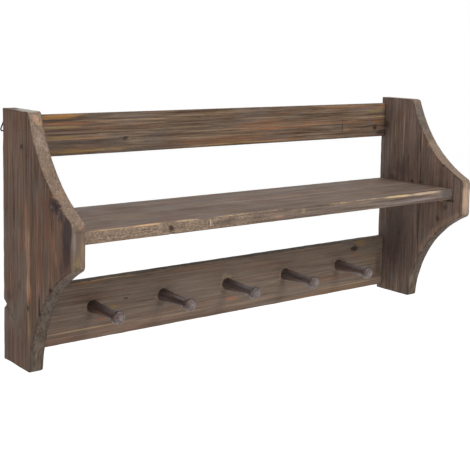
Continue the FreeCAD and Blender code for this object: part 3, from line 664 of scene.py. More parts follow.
sideShape = {
    "height": 0.370, "topDepth": 0.079, "bottomDepth": 0.0825, "noseDepth": 0.203,
    "noseTop": 0.232, "noseBottom": 0.1675, "upperRadius": 0.222, "lowerRadius": 0.203,
    "topRound": 0.008, "noseRound": 0.009, "footRound": 0.004,
    "pointSpacing": 0.0030, "acrossSpacing": 0.0035, "arris": 0.0013, "reach": 0.0020,
    "rough": {"arris": 0.0007, "arrisScale": 65, "face": 0.00012, "faceScale": 25,
              "rim": 0.00025, "rimScale": 160},
}


def scoopCentre(start, end, radius):
    # Centre of the hollow through two points given as (depth, height), out in front of them.
    chord = end - start
    out = Vector((abs(chord.y), chord.x * (1 if chord.y < 0 else -1))).normalized()
    return (start + end) / 2 + out * math.sqrt(radius ** 2 - (chord.length / 2) ** 2)


def arcBetween(centre, start, end, spacing):
    # Points after start, up to end, the shorter way round.
    first = math.atan2(start.y - centre.y, start.x - centre.x)
    sweep = math.atan2(end.y - centre.y, end.x - centre.x) - first
    sweep = (sweep + math.pi) % (2 * math.pi) - math.pi
    radius = (start - centre).length
    count = max(4, round(abs(sweep) * radius / spacing))
    points = []
    for i in range(1, count + 1):
        turn = first + sweep * i / count
        points.append(centre + Vector((math.cos(turn), math.sin(turn))) * radius)
    return points


def lineBetween(start, end, spacing):
    count = max(1, round((end - start).length / spacing))
    return [start + (end - start) * i / count for i in range(1, count + 1)]


def sideOutline(shape):
    # The whole side board as (depth, height), up the back, over the top and down the front.
    height, nose = shape["height"], shape["noseDepth"]
    step = shape["pointSpacing"]
    fine = step * 0.4                                   # round the corners
    upperR, lowerR = shape["upperRadius"], shape["lowerRadius"]
    topR, noseR, footR = shape["topRound"], shape["noseRound"], shape["footRound"]
    upper = scoopCentre(Vector((shape["topDepth"], height)),
                        Vector((nose, shape["noseTop"])), upperR)
    lower = scoopCentre(Vector((nose, shape["noseBottom"])),
                        Vector((shape["bottomDepth"], 0)), lowerR)

    def leg(reach, offset):
        return math.sqrt(reach ** 2 - offset ** 2)

    top = Vector((upper.x - leg(upperR + topR, height - topR - upper.y), height - topR))
    noseHigh = Vector((nose - noseR, upper.y - leg(upperR + noseR, nose - noseR - upper.x)))
    noseLow = Vector((nose - noseR, lower.y + leg(lowerR + noseR, nose - noseR - lower.x)))
    base = Vector((lower.x - leg(lowerR + footR, footR - lower.y), footR))

    def touch(scoop, radius, corner):
        return scoop + (corner - scoop).normalized() * radius

    points = [Vector((0, 0))]
    points += lineBetween(points[-1], Vector((0, height)), step)
    points += lineBetween(points[-1], Vector((top.x, height)), step)
    points += arcBetween(top, points[-1], touch(upper, upperR, top), fine)
    points += arcBetween(upper, points[-1], touch(upper, upperR, noseHigh), step)
    points += arcBetween(noseHigh, points[-1], Vector((nose, noseHigh.y)), fine)
    points += lineBetween(points[-1], Vector((nose, noseLow.y)), step)
    points += arcBetween(noseLow, points[-1], touch(lower, lowerR, noseLow), fine)
    points += arcBetween(lower, points[-1], touch(lower, lowerR, base), step)
    points += arcBetween(base, points[-1], Vector((base.x, 0)), fine)
    points += lineBetween(points[-1], Vector((0, 0)), step)[:-1]
    return points


def inwardNormals(outline):
    # Mitred inward normals of a closed outline that runs clockwise in (depth, height).
    normals = []
    for i, point in enumerate(outline):
        before = (point - outline[i - 1]).normalized()
        after = (outline[(i + 1) % len(outline)] - point).normalized()
        sideA = Vector((before.y, -before.x))
        sideB = Vector((after.y, -after.x))
        mitre = (sideA + sideB) / 2
        normals.append(mitre / max(mitre.dot(sideA), 0.3))
    return normals


def distanceTo(point, start, end):
    run = end - start
    share = max(0.0, min(1.0, (point - start).dot(run) / run.length_squared))
    return (point - start - run * share).length


def clearOfCorners(outline, inset):
    # Leaves out points beside a sharp corner, whose inset rings would cross the next side's.
    sides = list(zip(outline, outline[1:] + outline[:1]))
    kept = []
    for point, normal in zip(outline, inwardNormals(outline)):
        inner = point + normal * inset
        room = min(distanceTo(inner, start, end) for start, end in sides)
        isCorner = abs(normal.length - 1) > 0.1
        if room > inset * 0.97 or isCorner:
            kept.append(point)
    return kept


def makeSideBoard(name, low, high, outline, shape, dents=()):
    # A board between two X levels, with a rounded arris on both faces all the way round.
    verts, wear, rim, faces = [], [], [], []
    width, arris, reach = high - low, shape["arris"], shape["reach"]
    first = reach * firstStop
    # each entry is (inset, x, wear, rim)
    half = [(arris + reach, 0.0, 0.0, 0.0), (arris + first, 0.0, 0.6, 0.0)]
    for step in range(arrisSteps + 1):
        turn = math.pi / 2 * step / arrisSteps
        half.append((arris * (1 - math.sin(turn)), arris * (1 - math.cos(turn)), 1.0,
                     step / arrisSteps))
    across = [(0.0, arris + first, 0.6, 1.0)]
    across += [(0.0, at, 0.0, 1.0)
               for at in spread(arris + reach, width - arris - reach, shape["acrossSpacing"])]
    across.append((0.0, width - arris - first, 0.6, 1.0))
    column = half + across + [(inset, width - x, w, edge) for inset, x, w, edge in reversed(half)]
    for point, normal in zip(outline, inwardNormals(outline)):
        for inset, x, w, edge in column:
            place = point + normal * inset
            verts.append((low + x, -place.x, foot + place.y))
            wear.append(w)
            rim.append(edge)
    size = len(column)
    count = len(outline)
    for i in range(count):
        k = (i + 1) % count
        for j in range(size - 1):
            faces.append((i * size + j, k * size + j, k * size + j + 1, i * size + j + 1))
    faces.append([i * size for i in reversed(range(count))])
    faces.append([i * size + size - 1 for i in range(count)])
    piece = addPiece(name, verts, faces, wear=wear, rim=rim)
    weather(piece, shape["rough"], dents)
    return piece


outline = clearOfCorners(sideOutline(sideShape), sideShape["arris"] + sideShape["reach"])


def alongHollow(lowest, highest, every):
    # Places in millimetres, as (y, z), on the front edge between two heights over the foot.
    front = [point for point in outline if point.x > 0.08 and lowest < point.y < highest]
    return [(-point.x * 1000, (foot + point.y) * 1000) for point in front[::every]]


nick = ((-0.400, 0.0, foot + 0.0840), 0.0062, 0.0066, (0.25, -1, 0))
leftKnots = [((-400, -61, 263), (4, 4, 5)),
             ((-400, -162.5, 194.5), (5, 12, 9)),
             ((-400, -146, 75), (4, 5, 4)), ((-400, -79, 37), (4, 4, 5))]
leftMarks = onFace("X", -400, 3, [
    # outer face, upper part: red, grey and purple-brown columns
    ((-9, 286), (4, 50), 0.9, 0.3, (114, 72, 62), 0.7),
    ((-38.5, 291.5), (4, 40), 0.9, 0.3, (108, 66, 58), 0.75),
    ((-24.5, 263), (7, 60), 0.9, 0.3, (114, 98, 84), 0.6),
    ((-45.5, 220.5), (6, 54), 0.9, 0.3, (112, 102, 92), 0.65),
    ((-58, 228.5), (2, 40), 0.7, 0.25, (132, 112, 98), 0.6),
    ((-58, 285), (2.4, 14), 0.7, 0.4, (128, 104, 86), 0.6),
    ((-83, 269), (5, 9), 0.9, 0.6, (116, 68, 56), 0.7),
    ((-89.5, 239), (5, 34), 0.9, 0.3, (84, 66, 64), 0.65),
    ((-77, 215.5), (6, 50), 0.9, 0.3, (112, 80, 60), 0.5),
    ((-107.5, 224.5), (9, 26), 0.9, 0.3, (74, 58, 58), 0.7),
    ((-10, 180), (8, 70), 0.9, 0.3, (100, 76, 64), 0.6),
    ((-24.5, 140), (4, 60), 0.9, 0.3, (96, 62, 54), 0.6),
    ((-44.5, 160), (8, 30), 0.9, 0.3, (100, 94, 86), 0.6),
    ((-48.5, 185.5), (1.6, 60), 0.5, 0.2, (66, 50, 44), 0.6),
    ((-67, 190.5), (1.4, 50), 0.5, 0.2, (68, 46, 38), 0.65),
    ((-91.5, 172), (3.5, 26), 0.8, 0.3, (110, 98, 70), 0.6),
    # the orange and peach streaks that run down past the middle
    ((-75, 168), (7, 28), 0.7, 0.2, (150, 102, 84), 0.9),
    ((-78, 130), (9, 36), 0.7, 0.2, (166, 128, 104), 0.9),
    ((-80, 99.5), (8, 26), 0.7, 0.2, (156, 118, 94), 0.85),
    ((-80, 68), (8.5, 28), 0.7, 0.2, (172, 134, 108), 0.9),
    ((-87, 58), (4.5, 22), 0.8, 0.3, (152, 104, 68), 0.8),
    ((-82, 8), (6, 26), 0.8, 0.25, (150, 114, 88), 0.8),
    ((-45, -30), (60, 42), 0.9, 0.3, (86, 69, 60), 0.45),
    # front stave
    ((-122, 196.5), (10, 26), 0.9, 0.4, (110, 76, 56), 0.6),
    ((-137, 156), (17, 28), 0.9, 0.5, (112, 74, 56), 0.85),
    ((-154, 140), (9, 24), 0.9, 0.5, (140, 98, 72), 0.8),
    ((-162.5, 121.5), (4, 16), 0.8, 0.4, (142, 104, 78), 0.7),
    ((-130, 111.5), (12, 30), 0.9, 0.3, (88, 72, 68), 0.6),
    ((-152, 204.5), (11, 4), 0.7, 0.9, (124, 74, 50), 0.75),
    ((-134, 186), (24, 24), 0.9, 0.5, (106, 70, 53), 0.8),
    ((-157, 194), (27, 21), 0.9, 0.9, (62, 46, 42), 0.8),
    ((-162.5, 192.5), (17, 13), 0.7, 0.9, (50, 39, 38), 0.95),
    ((-174.5, 180), (10, 10), 0.7, 0.8, (56, 50, 54), 0.9),
    ((-149, 190.5), (4, 3), 0.6, 0.9, (110, 100, 102), 0.7),
    ((-166.5, 180), (3, 3), 0.6, 0.9, (124, 114, 112), 0.6),
    ((-192, 158), (15, 30), 0.4, 0.25, (56, 46, 48), 0.92),
    ((-189, 132), (14, 26), 0.5, 0.25, (64, 48, 48), 0.9),
    ((-178.5, 111.5), (12, 14), 0.7, 0.3, (70, 54, 60), 0.7),
    ((-160.5, 99.5), (8, 14), 0.8, 0.4, (98, 78, 56), 0.6),
    # lower part
    ((-113, 44), (4, 3.4, 26), 0.5, 0.1, (44, 33, 32), 1),
    ((-120, 59), (5, 26), 0.8, 0.2, (88, 70, 66), 0.6),
    ((-30.5, 69), (5, 50), 0.9, 0.3, (102, 62, 52), 0.6),
    ((-53, 65), (7, 12), 0.8, 0.5, (72, 62, 54), 0.6),
    ((-22.5, 43), (16, 10), 0.8, 0.8, (66, 54, 56), 0.7),
    ((-36.5, 44), (1.6, 9), 0.6, 0.7, (138, 110, 84), 0.6),
    ((-56, 8.5), (7, 22), 0.9, 0.4, (76, 60, 54), 0.6),
    ((-93.5, 8.5), (8, 40), 0.9, 0.3, (96, 80, 70), 0.65),
    ((-99.5, 25), (10, 26), 0.9, 0.3, (106, 86, 68), 0.65),
    # pale arris over the upper hollow, partly rubbed wood and partly a painted highlight
    ((-133, 233.5), (2.2, 5, 6), 0.7, 0.6, (186, 150, 126), 0.8),
    ((-142, 220.5), (2.2, 5, 6), 0.7, 0.6, (196, 160, 138), 0.85),
    ((-155.5, 206.5), (2, 6, 6), 0.7, 0.6, (172, 140, 118), 0.7),
    # front edge, from the top round the nose
    ((-389, -203, 143), (14, 6, 36), 0.6, 0.3, (106, 90, 77), 1),
    ((-389, -79, 302.5), (8, 10, 7), 0.7, 0.8, (186, 146, 120), 0.8),
    ((-385, -87.5, 297.5), (6, 8, 4), 0.7, 0.8, (172, 138, 96), 0.7),
    ((-383, -81, 307.5), (5, 8, 5), 0.7, 0.8, (120, 112, 98), 0.6),
    ((-389, -95.5, 275), (12, 16, 16), 0.9, 0.3, (150, 131, 120), 0.85),
    ((-383, -101.5, 263), (5, 6, 6), 0.8, 0.6, (148, 124, 116), 0.6),
    ((-389, -113.5, 255), (10, 12, 8), 0.9, 0.4, (118, 106, 94), 0.6),
    ((-389, -128, 239), (10, 12, 12), 0.9, 0.4, (146, 122, 96), 0.6),
    ((-389, -152, 206.5), (10, 12, 12), 0.9, 0.4, (148, 120, 96), 0.6),
    ((-389, -174.5, 186.5), (10, 10, 10), 0.9, 0.4, (138, 112, 92), 0.6),
    ((-386, -199, 169), (6, 6, 2.1), 0.7, 0.8, (164, 120, 98), 0.7),
    ((-387, -195, 174), (7, 6, 1.7), 0.6, 0.7, (62, 40, 34), 0.9),
    ((-389, -201, 163), (9, 6, 2), 0.6, 0.7, (92, 74, 66), 0.7),
    ((-395, -204, 148), (3.4, 5, 22), 0.6, 0.2, (138, 128, 124), 0.75),
    ((-389, -204, 121.5), (6, 6, 14), 0.9, 0.6, (132, 114, 72), 0.6),
    ((-383, -204, 140), (4, 6, 22), 0.7, 0.3, (142, 118, 92), 0.6),
    ((-391, -201, 114.5), (9, 6, 5), 0.7, 0.8, (90, 78, 66), 0.7),
    ((-389, -191, 103.5), (9, 10, 6), 0.8, 0.4, (104, 100, 104), 0.6),
    # cut top: dark behind, a painted highlight in front
    ((-390, -61, 313), (12, 34, 2.4), 0.4, 0.2, (176, 172, 160), 0.85),
    ((-390, -8, 313), (12, 20, 2.4), 0.4, 0.2, (76, 58, 50), 0.8),
])
rightKnots = [((378, -148, 100.5), (4, 4.5, 5)), ((378, -55, 59), (4, 3, 5))]
rightMarks = onFace("X", 378, 2.5, [
    # inner face above the shelf
    ((-60, 262), (3, 76, 76), 0.9, 0.3, (137, 116, 105), 0.7),
    ((-150, 200), (3, 44, 44), 0.9, 0.3, (128, 107, 93), 0.65),
    ((-59, 247), (1.9, 50), 0.5, 0.1, (176, 146, 122), 1),
    ((-37.5, 249), (1.7, 26), 0.6, 0.2, (166, 142, 106), 0.95),
    ((-43.5, 253), (1.5, 20), 0.6, 0.2, (158, 136, 100), 0.9),
    ((-32.5, 251), (2.4, 20), 0.7, 0.3, (122, 104, 84), 0.6),
    ((-50.5, 287), (6, 20), 0.8, 0.4, (112, 80, 66), 0.65),
    ((-30.5, 293.5), (7, 18), 0.9, 0.3, (104, 92, 82), 0.5),
    # painted shade on the board where the upper rail's end meets it
    ((-14, 263), (3, 9, 12), 0.7, 0.5, (60, 54, 52), 0.75),
    ((-8, 244), (3, 6, 4), 0.6, 0.5, (38, 32, 30), 0.85),
    ((-101.5, 237), (1.5, 28), 0.5, 0.06, (44, 34, 32), 0.95),
    ((-103.5, 186.5), (1.5, 30), 0.5, 0.06, (44, 34, 32), 0.95),
    ((-105, 243), (1.7, 24), 0.6, 0.1, (166, 134, 112), 0.9),
    ((-106.5, 194.5), (1.5, 26), 0.6, 0.1, (128, 108, 96), 0.65),
    ((-113.5, 241), (6, 18), 0.8, 0.4, (130, 102, 78), 0.75),
    ((-121, 232.5), (3, 9), 0.7, 0.5, (154, 128, 102), 0.7),
    ((-89.5, 263), (4, 30), 0.8, 0.3, (110, 76, 68), 0.5),
    ((-72, 200.5), (1.6, 14), 0.6, 0.3, (54, 42, 40), 0.75),
    ((-53, 182), (3, 42, 24), 0.9, 0.3, (78, 64, 62), 0.65),
    ((-34.5, 163), (3, 16, 9), 0.7, 0.6, (58, 48, 46), 0.7),
    ((-83, 161), (3, 7, 5), 0.6, 0.8, (46, 38, 38), 0.8),
    ((-104.5, 162), (3, 3, 6), 0.6, 0.6, (42, 34, 34), 0.8),
    ((-152, 186.5), (3, 16, 14), 0.9, 0.4, (104, 76, 66), 0.6),
    ((-145, 174), (10, 5), 0.8, 0.8, (136, 112, 98), 0.6),
    ((-146, 196.5), (1.2, 20), 0.6, 0.3, (126, 106, 90), 0.6),
    ((-156.5, 206.5), (4, 3), 0.6, 0.8, (190, 158, 130), 0.75),
    ((-157.5, 198.5), (5, 4), 0.6, 0.8, (62, 50, 44), 0.8),
    ((-138, 206.5), (5, 5), 0.8, 0.7, (146, 114, 106), 0.65),
    # inner face below the shelf, first darkened all over with a painted shade under the shelf
    ((-45.5, 50), (3, 52, 92), 0.8, 0.2, (72, 59, 54), 0.85),
    ((-42.5, 69), (1.2, 42), 0.5, 0.15, (104, 88, 74), 0.75),
    ((-67, 77.5), (1.1, 34), 0.5, 0.15, (110, 90, 76), 0.75),
    ((-102.5, 71), (1.5, 54), 0.5, 0.06, (42, 34, 34), 0.95),
    ((-106, 69), (1.9, 52), 0.6, 0.1, (130, 108, 94), 0.8),
    ((-113.5, 95.5), (5, 26), 0.8, 0.4, (112, 92, 74), 0.7),
    ((-119, 83.5), (1.4, 34), 0.6, 0.3, (128, 108, 88), 0.6),
    ((-136, 83.5), (3, 14, 26), 0.9, 0.5, (92, 74, 66), 0.55),
    ((-150, 110), (3, 50, 40), 0.9, 0.3, (116, 95, 80), 0.4),
    ((-193, 132), (6, 20), 0.8, 0.4, (110, 82, 70), 0.6),
    ((-167.5, 150), (12, 6), 0.7, 0.7, (116, 112, 110), 0.85),
    ((-154.5, 134), (5, 2.2), 0.5, 0.8, (190, 166, 136), 0.8),
    ((-174.5, 137), (14, 3.4), 0.6, 0.8, (44, 36, 34), 0.9),
    ((-164.5, 123.5), (7, 7), 0.7, 0.8, (64, 56, 56), 0.7),
    ((-175.5, 155), (4, 3), 0.6, 0.7, (46, 38, 36), 0.85),
    ((-113.5, 39), (5, 14), 0.9, 0.4, (146, 120, 100), 0.75),
    ((-99.5, 12.5), (4, 16), 0.8, 0.5, (136, 114, 94), 0.75),
    ((379, -87, -23.5), (6, 9, 34), 0.8, 0.3, (134, 118, 100), 0.92),
    # front edge
    ((389, -84, 303), (17, 15, 12), 0.7, 0.35, (104, 92, 86), 0.9),
    ((389, -92, 288), (18, 18, 18), 0.7, 0.35, (92, 84, 79), 0.95),
    ((389, -100, 268), (18, 18, 17), 0.7, 0.35, (86, 77, 70), 0.9),
    ((389, -112, 249), (18, 18, 18), 0.8, 0.35, (98, 86, 76), 0.85),
    ((387, -168.5, 200.5), (9, 8, 5), 0.7, 0.8, (158, 132, 108), 0.65),
    ((387, -190, 188.5), (10, 12, 8), 0.8, 0.5, (144, 126, 118), 0.75),
    ((389, -206, 143), (14, 8, 36), 0.5, 0.35, (186, 158, 134), 0.9),
    ((393, -207, 146), (5, 4, 14), 0.8, 0.9, (124, 108, 96), 0.85),
    ((384, -207, 156), (3, 4, 12), 0.8, 0.6, (204, 174, 148), 0.6),
])
for y, z in alongHollow(0.258, 0.292, 1):
    rightMarks.append(((377.5, y, z), (2.4, 3.0, 3.0), 0.6, 0.25, (200, 164, 138), 0.85))
for y, z in alongHollow(0.085, 0.166, 3):
    rightMarks.append(((378, y + 3, z + 3), (2.5, 10, 9), 0.9, 0.50, (152, 126, 106), 0.55))
# below the nose the edge band turns to the darker far tones, a painted shade on the lower hollow,
# which faces down
endTone = {"rimDark": tone(112, 96, 84), "rimLight": tone(144, 124, 106), "rimAmount": 0.85,
           "rimScale": (0.5, 0.22, 0.22),
           "farRim": ("Z", 114, 96, tone(78, 68, 59), tone(104, 92, 80))}
sideLook = {**boardLook, **endTone, "ringWidth": 5.0, "ringDepth": 0.2, "streakDepth": 1.0,
            "greyAmount": 0.7, "arrisShade": 0.85, "wearAmount": 0.15}
leftWood = makeWood("leftBoardWood", "Z", {
    **sideLook, "pith": (470, 60, 0), "dark": tone(78, 57, 46), "middle": tone(106, 82, 67),
    "light": tone(128, 104, 87), "warm": tone(118, 80, 63), "warmAmount": 0.55,
    "grey": tone(106, 95, 85), "streakDepth": 1.25, "arrisShade": 0.55}, leftKnots, leftMarks)
rightWood = makeWood("rightBoardWood", "Z", {
    **sideLook, "pith": (-330, 60, 0), "dark": tone(94, 77, 69), "middle": tone(118, 99, 88),
    "light": tone(134, 114, 101), "warm": tone(126, 94, 80), "warmAmount": 0.45,
    "grey": tone(116, 102, 96), "streakDepth": 1.2}, rightKnots, rightMarks)
for side, wood, dents in (("left", leftWood, [nick]), ("right", rightWood, [])):
    nodes = ["side_%s_%s_stave" % (side, part) for part in ("rear", "front")]
    low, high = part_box(nodes[0])
    board = makeSideBoard(side + "Board", low.x, high.x, outline, sideShape, dents)
    settle(board, "rack", nodes, wood)
print("side boards made")


pegShape = {
    "projection": 0.082, "footRadius": 0.0099, "footLength": 0.004, "neckRadius": 0.0073,
    "hollowRadius": 0.760, "knobRadius": 0.0108, "knobLength": 0.0115, "dome": 0.0022,
    "knobFrontRound": 0.0050, "knobBackRound": 0.0020, "neckRound": 0.0009,
    "footRound": 0.0010, "tenonRadius": 0.006, "tenonLength": 0.0115, "sides": 56,
}


def pegProfile(shape):
    # (distance out of the rail, radius) from the tenon's end to the knob's pole.
    out, knob = shape["projection"], shape["knobRadius"]
    knobBack = out - shape["knobLength"]
    profile = [(-shape["tenonLength"], 0.0), (-shape["tenonLength"], shape["tenonRadius"]),
               (-0.0002, shape["tenonRadius"]), (0.0, shape["footRadius"] - shape["footRound"])]
    for i in range(1, 5):
        turn = math.pi / 2 * i / 4
        profile.append((shape["footRound"] * (1 - math.cos(turn)),
                        shape["footRadius"] - shape["footRound"] * (1 - math.sin(turn))))
    start = (shape["footLength"], shape["footRadius"])
    neckRound = shape["neckRound"]
    end = (knobBack - neckRound, shape["neckRadius"])
    for i in range(0, 25):
        at = i / 24
        along = start[0] + (end[0] - start[0]) * at
        straight = start[1] + (end[1] - start[1]) * at
        sag = (end[0] - start[0]) ** 2 / (8 * shape["hollowRadius"])
        profile.append((along, straight - sag * 4 * at * (1 - at)))
    for i in range(1, 6):
        turn = math.pi / 2 * i / 5
        profile.append((knobBack - neckRound * (1 - math.sin(turn)),
                        shape["neckRadius"] + neckRound * (1 - math.cos(turn))))
    backRound = shape["knobBackRound"]
    for i in range(0, 8):
        turn = math.pi / 2 * i / 7
        profile.append((knobBack + backRound * (1 - math.cos(turn)),
                        knob - backRound * (1 - math.sin(turn))))
    front, dome = shape["knobFrontRound"], shape["dome"]
    crown = (knob ** 2 + dome ** 2) / (2 * dome)
    reach = math.sqrt((crown - front) ** 2 - (knob - front) ** 2)
    tip = math.atan2(knob - front, reach)
    for i in range(0, 11):
        turn = math.pi / 2 + (tip - math.pi / 2) * i / 10
        profile.append((out - crown + reach + front * math.cos(turn),
                        knob - front + front * math.sin(turn)))
    for i in range(1, 7):
        turn = tip * (1 - i / 6)
        radius = crown * math.sin(turn) if i < 6 else 0.0
        profile.append((out - crown + crown * math.cos(turn), radius))
    return profile


def latheAlongY(name, profile, sides):
    verts, faces, rows = [], [], []
    for along, radius in profile:
        if radius == 0:
            verts.append((0, -along, 0))
            rows.append([len(verts) - 1] * sides)
            continue
        row = []
        for i in range(sides):
            turn = 2 * math.pi * i / sides
            row.append(len(verts))
            verts.append((radius * math.cos(turn), -along, radius * math.sin(turn)))
        rows.append(row)
    for lower, upper in zip(rows, rows[1:]):
        for i in range(sides):
            k = (i + 1) % sides
            corners = [lower[i], lower[k], upper[k], upper[i]]
            face = [corner for n, corner in enumerate(corners) if corner != corners[n - 1]]
            faces.append(face)
    return addPiece(name, verts, faces, wear=[0.0] * len(verts))


def makePegRowTree():
    # Sets the one turned peg along the rail, each turned by chance about its own axis.
    tree = bpy.data.node_groups.new("pegRow", "GeometryNodeTree")
    given = addSockets(tree, (
        ("Peg", "Geometry", None), ("Pegs", "Int", 5), ("Spacing", "Float", 0.130),
        ("First Peg", "Vector", (0, 0, 0)), ("Seed", "Int", 4), ("Finish", "Material", None),
    ), (("Row", "Geometry"),))
    offset = addNode(tree, "ShaderNodeCombineXYZ", {0: given["Spacing"]})
    line = addNode(tree, "GeometryNodeMeshLine", {
        "Count": given["Pegs"], "Start Location": given["First Peg"], "Offset": offset.outputs[0]})
    chance = addNode(tree, "FunctionNodeRandomValue", {"Seed": given["Seed"]}, data_type="FLOAT")
    chance.inputs[2].default_value = 0.0
    chance.inputs[3].default_value = 2 * math.pi
    spin = addNode(tree, "ShaderNodeCombineXYZ", {1: chance.outputs[1]})
    placed = addNode(tree, "GeometryNodeInstanceOnPoints", {
        "Points": line.outputs[0], "Instance": given["Peg"], "Rotation": spin.outputs[0]})
    real = addNode(tree, "GeometryNodeRealizeInstances", {0: placed.outputs[0]})
    finished = addNode(tree, "GeometryNodeSetMaterial", {
        "Geometry": real.outputs[0], "Material": given["Finish"]})
    addNode(tree, "NodeGroupOutput", {"Row": finished.outputs[0]})
    return tree


def growFromTree(base, tree, values, name):
    # Runs a tree on an object and keeps the result as a plain mesh.
    modifier = base.modifiers.new(tree.name, "NODES")
    modifier.node_group = tree
    for item in tree.interface.items_tree:
        if item.in_out == "INPUT" and item.name in values:
            modifier[item.identifier] = values[item.name]
    bpy.context.view_layer.update()
    evaluated = base.evaluated_get(bpy.context.evaluated_depsgraph_get())
    mesh = bpy.data.meshes.new_from_object(evaluated)
    mesh.name = name
    bpy.data.objects.remove(base)
    return addObject(name, mesh)


pegLook = {
    **boardLook, "pith": (12, 300, 0), "ringWidth": 3.2, "ringDepth": 0.2, "warmAmount": 0.2,
    "streakDepth": 1.3, "arrisShade": 0.0, "wearAmount": 0.0, "rough": 0.40, "specular": 0.5,
    "bump": 0.25, "dark": tone(66, 51, 48), "middle": tone(88, 71, 66),
    "light": tone(108, 90, 82), "warm": tone(112, 76, 60), "grey": tone(94, 84, 82),
}
pegMarks = []
footTones = [(36, 27, 26), (60, 48, 46), (62, 48, 46), (66, 60, 54), (58, 52, 46)]
for hole, footTone in zip(pegHoles, footTones):
    # foot darkened near the rail by stain and by painted shade, then on each knob a painted
    # highlight on the front, painted shade on the upper left and painted light on the lower left
    pegMarks += [
        ((hole, -18, 4.5), (14, 20, 14), 0.8, 0.40, footTone, 0.85),
        ((hole + 3, -98, 5), (10, 4.5, 9), 0.9, 0.90, (140, 128, 124), 0.65),
        ((hole - 6, -92, 3), (6, 5, 9), 0.9, 0.80, (78, 64, 60), 0.50),
        ((hole - 6, -96, -3), (6, 5, 5), 0.9, 0.50, (140, 127, 121), 0.60),
    ]
pegMarks += [((-262, -50, 0), (14, 26, 8), 0.8, 0.70, (136, 92, 68), 0.45),
             ((-256, -97, 0), (3, 5, 3), 0.6, 0.90, (120, 126, 104), 0.60)]
pegWood = makeWood("pegWood", "Y", pegLook, marks=pegMarks)
firstLow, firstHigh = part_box("peg_1")
lastLow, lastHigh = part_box("peg_5")
firstMiddle = (firstLow + firstHigh) / 2
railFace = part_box("peg_rail")[0].y
pegBlank = latheAlongY("pegBlank", pegProfile(pegShape), pegShape["sides"])
pegs = growFromTree(pegBlank, makePegRowTree(), {
    "Pegs": 5, "Spacing": (lastLow.x - firstLow.x) / 4,
    "First Peg": (firstMiddle.x, railFace, firstMiddle.z), "Seed": 4, "Finish": pegWood}, "pegs")
settle(pegs, "rack", ["peg_%d" % number for number in range(1, 6)], pegWood)
print("pegs turned")


def makeMetal(name, colour, rough, metallic, speck):
    material, tree, shader = newMaterial(name)
    where = addNode(tree, "ShaderNodeTexCoord").outputs["Object"]
    grain = grainNoise(tree, where, (900, 900, 900), 4.0, 0.6)
    cloud = grainNoise(tree, where, (160, 160, 160), 3.0)
    lighter = tuple(min(1.0, value * speck) for value in colour[:3]) + (1.0,)
    tinted = mixColour(tree, ease(tree, cloud, 0.4, 0.7), colour, lighter)
    tree.links.new(tinted, shader.inputs["Base Color"])
    gloss = ease(tree, grain, 0.3, 0.7, rough - 0.06, rough + 0.1)
    tree.links.new(gloss, shader.inputs["Roughness"])
    shader.inputs["Metallic"].default_value = metallic
    bump = addNode(tree, "ShaderNodeBump", {"Height": grain, "Strength": 0.15, "Distance": 0.0002})
    tree.links.new(bump.outputs[0], shader.inputs["Normal"])
    return material


dowelWood = makeWood("dowelWood", "X", {
    **boardLook, "ringWidth": 2.4, "dark": tone(170, 138, 98), "middle": tone(190, 158, 116),
    "light": tone(206, 178, 136), "warm": tone(186, 148, 104), "grey": tone(180, 152, 116)})
blackMetal = makeMetal("blackMetal", tone(13, 13, 14), 0.5, 0.0, 1.6)
screwSteel = makeMetal("screwSteel", tone(150, 148, 142), 0.36, 1.0, 1.25)

finishes = {"dowel_wood": dowelWood, "black_metal": blackMetal, "screw_steel": screwSteel}
for entry in frame["record"]["subparts"]:
    if entry["material_slot"] in finishes:
        materials = frame["nodes"][entry["node"]].data.materials
        materials.clear()
        materials.append(finishes[entry["material_slot"]])
print("hardware finished")


view = {
    "place": (-1.0320, -1.3593, foot + 0.4726), "yaw": -38.66, "pitch": 6.02, "roll": -1.06,
    "focal": 77.91, "shift": (-0.0305, -0.1856),
}


def aimCamera(settings):
    yaw, pitch, roll = (math.radians(settings[key]) for key in ("yaw", "pitch", "roll"))
    ahead = Vector((-math.sin(yaw) * math.cos(pitch), math.cos(yaw) * math.cos(pitch),
                    -math.sin(pitch)))
    right = Vector((math.cos(yaw), math.sin(yaw), 0))
    down = ahead.cross(right)
    rolledRight = right * math.cos(roll) + down * math.sin(roll)
    rolledDown = down * math.cos(roll) - right * math.sin(roll)
    data = bpy.data.cameras.new("camera")
    data.sensor_width = 36
    data.lens = settings["focal"]
    data.shift_x, data.shift_y = settings["shift"]
    data.clip_start = 0.05
    camera = addObject("camera", data)
    turn = Matrix((rolledRight, -rolledDown, -ahead)).transposed().to_4x4()
    camera.matrix_world = Matrix.Translation(settings["place"]) @ turn
    scene.camera = camera


aimCamera(view)

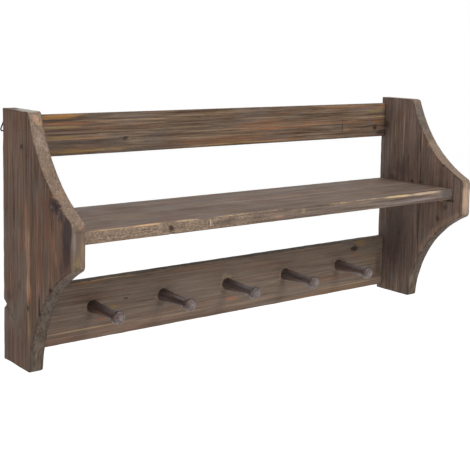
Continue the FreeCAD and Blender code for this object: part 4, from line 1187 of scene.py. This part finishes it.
light = {
    "worldLevel": 0.58, "keyPower": 42.0, "keyPlace": (0.7, -1.9, 2.1), "keySize": 1.1,
    "fillPower": 8.0, "fillPlace": (-1.9, -1.5, 0.9), "fillSize": 1.6,
    "aim": (0, -0.08, 0.1),
    "floorLevel": -0.62, "floorSize": 14.0, "floorTone": 0.82, "floorGlow": 0.5,
}


def addLamp(name, place, power, size):
    data = bpy.data.lights.new(name, "AREA")
    data.energy = power
    data.size = size
    lamp = addObject(name, data)
    aim = Vector(light["aim"]) - Vector(place)
    lamp.location = place
    lamp.rotation_euler = aim.to_track_quat("-Z", "Y").to_euler()


def seenDirectly(tree):
    # 1 for rays from the camera, a mirror or clear glass, 0 for those that only light.
    path = addNode(tree, "ShaderNodeLightPath").outputs
    seen = calc(tree, "MAXIMUM", path["Is Camera Ray"], path["Is Glossy Ray"])
    return calc(tree, "MAXIMUM", seen, path["Is Transmission Ray"])


def makeWorld():
    world = bpy.data.worlds.new("studio")
    scene.world = world
    world.use_nodes = True
    tree = world.node_tree
    ground = tree.nodes["Background"]
    strength = ease(tree, seenDirectly(tree), 0.0, 1.0, light["worldLevel"], 1.0)
    tree.links.new(strength, ground.inputs["Strength"])
    ground.inputs["Color"].default_value = (1, 1, 1, 1)


def makeFloor():
    half = light["floorSize"] / 2
    level = foot + light["floorLevel"]
    floor = addPiece("floor", [(-half, -half, level), (half, -half, level),
                               (half, half, level), (-half, half, level)], [(0, 1, 2, 3)])
    material, tree, shader = newMaterial("floorWhite")
    shader.inputs["Base Color"].default_value = (light["floorTone"],) * 3 + (1,)
    shader.inputs["Roughness"].default_value = 0.9
    shader.inputs["Specular IOR Level"].default_value = 0.1
    shader.inputs["Emission Color"].default_value = (1, 1, 1, 1)
    glow = ease(tree, seenDirectly(tree), 0.0, 1.0, 0.0, light["floorGlow"])
    tree.links.new(glow, shader.inputs["Emission Strength"])
    floor.data.materials.append(material)


makeWorld()
makeFloor()
for name in ("key", "fill"):
    addLamp(name + "Lamp", *(light[name + part] for part in ("Place", "Power", "Size")))
scene.view_settings.view_transform = "Standard"
print("camera, light and floor set")
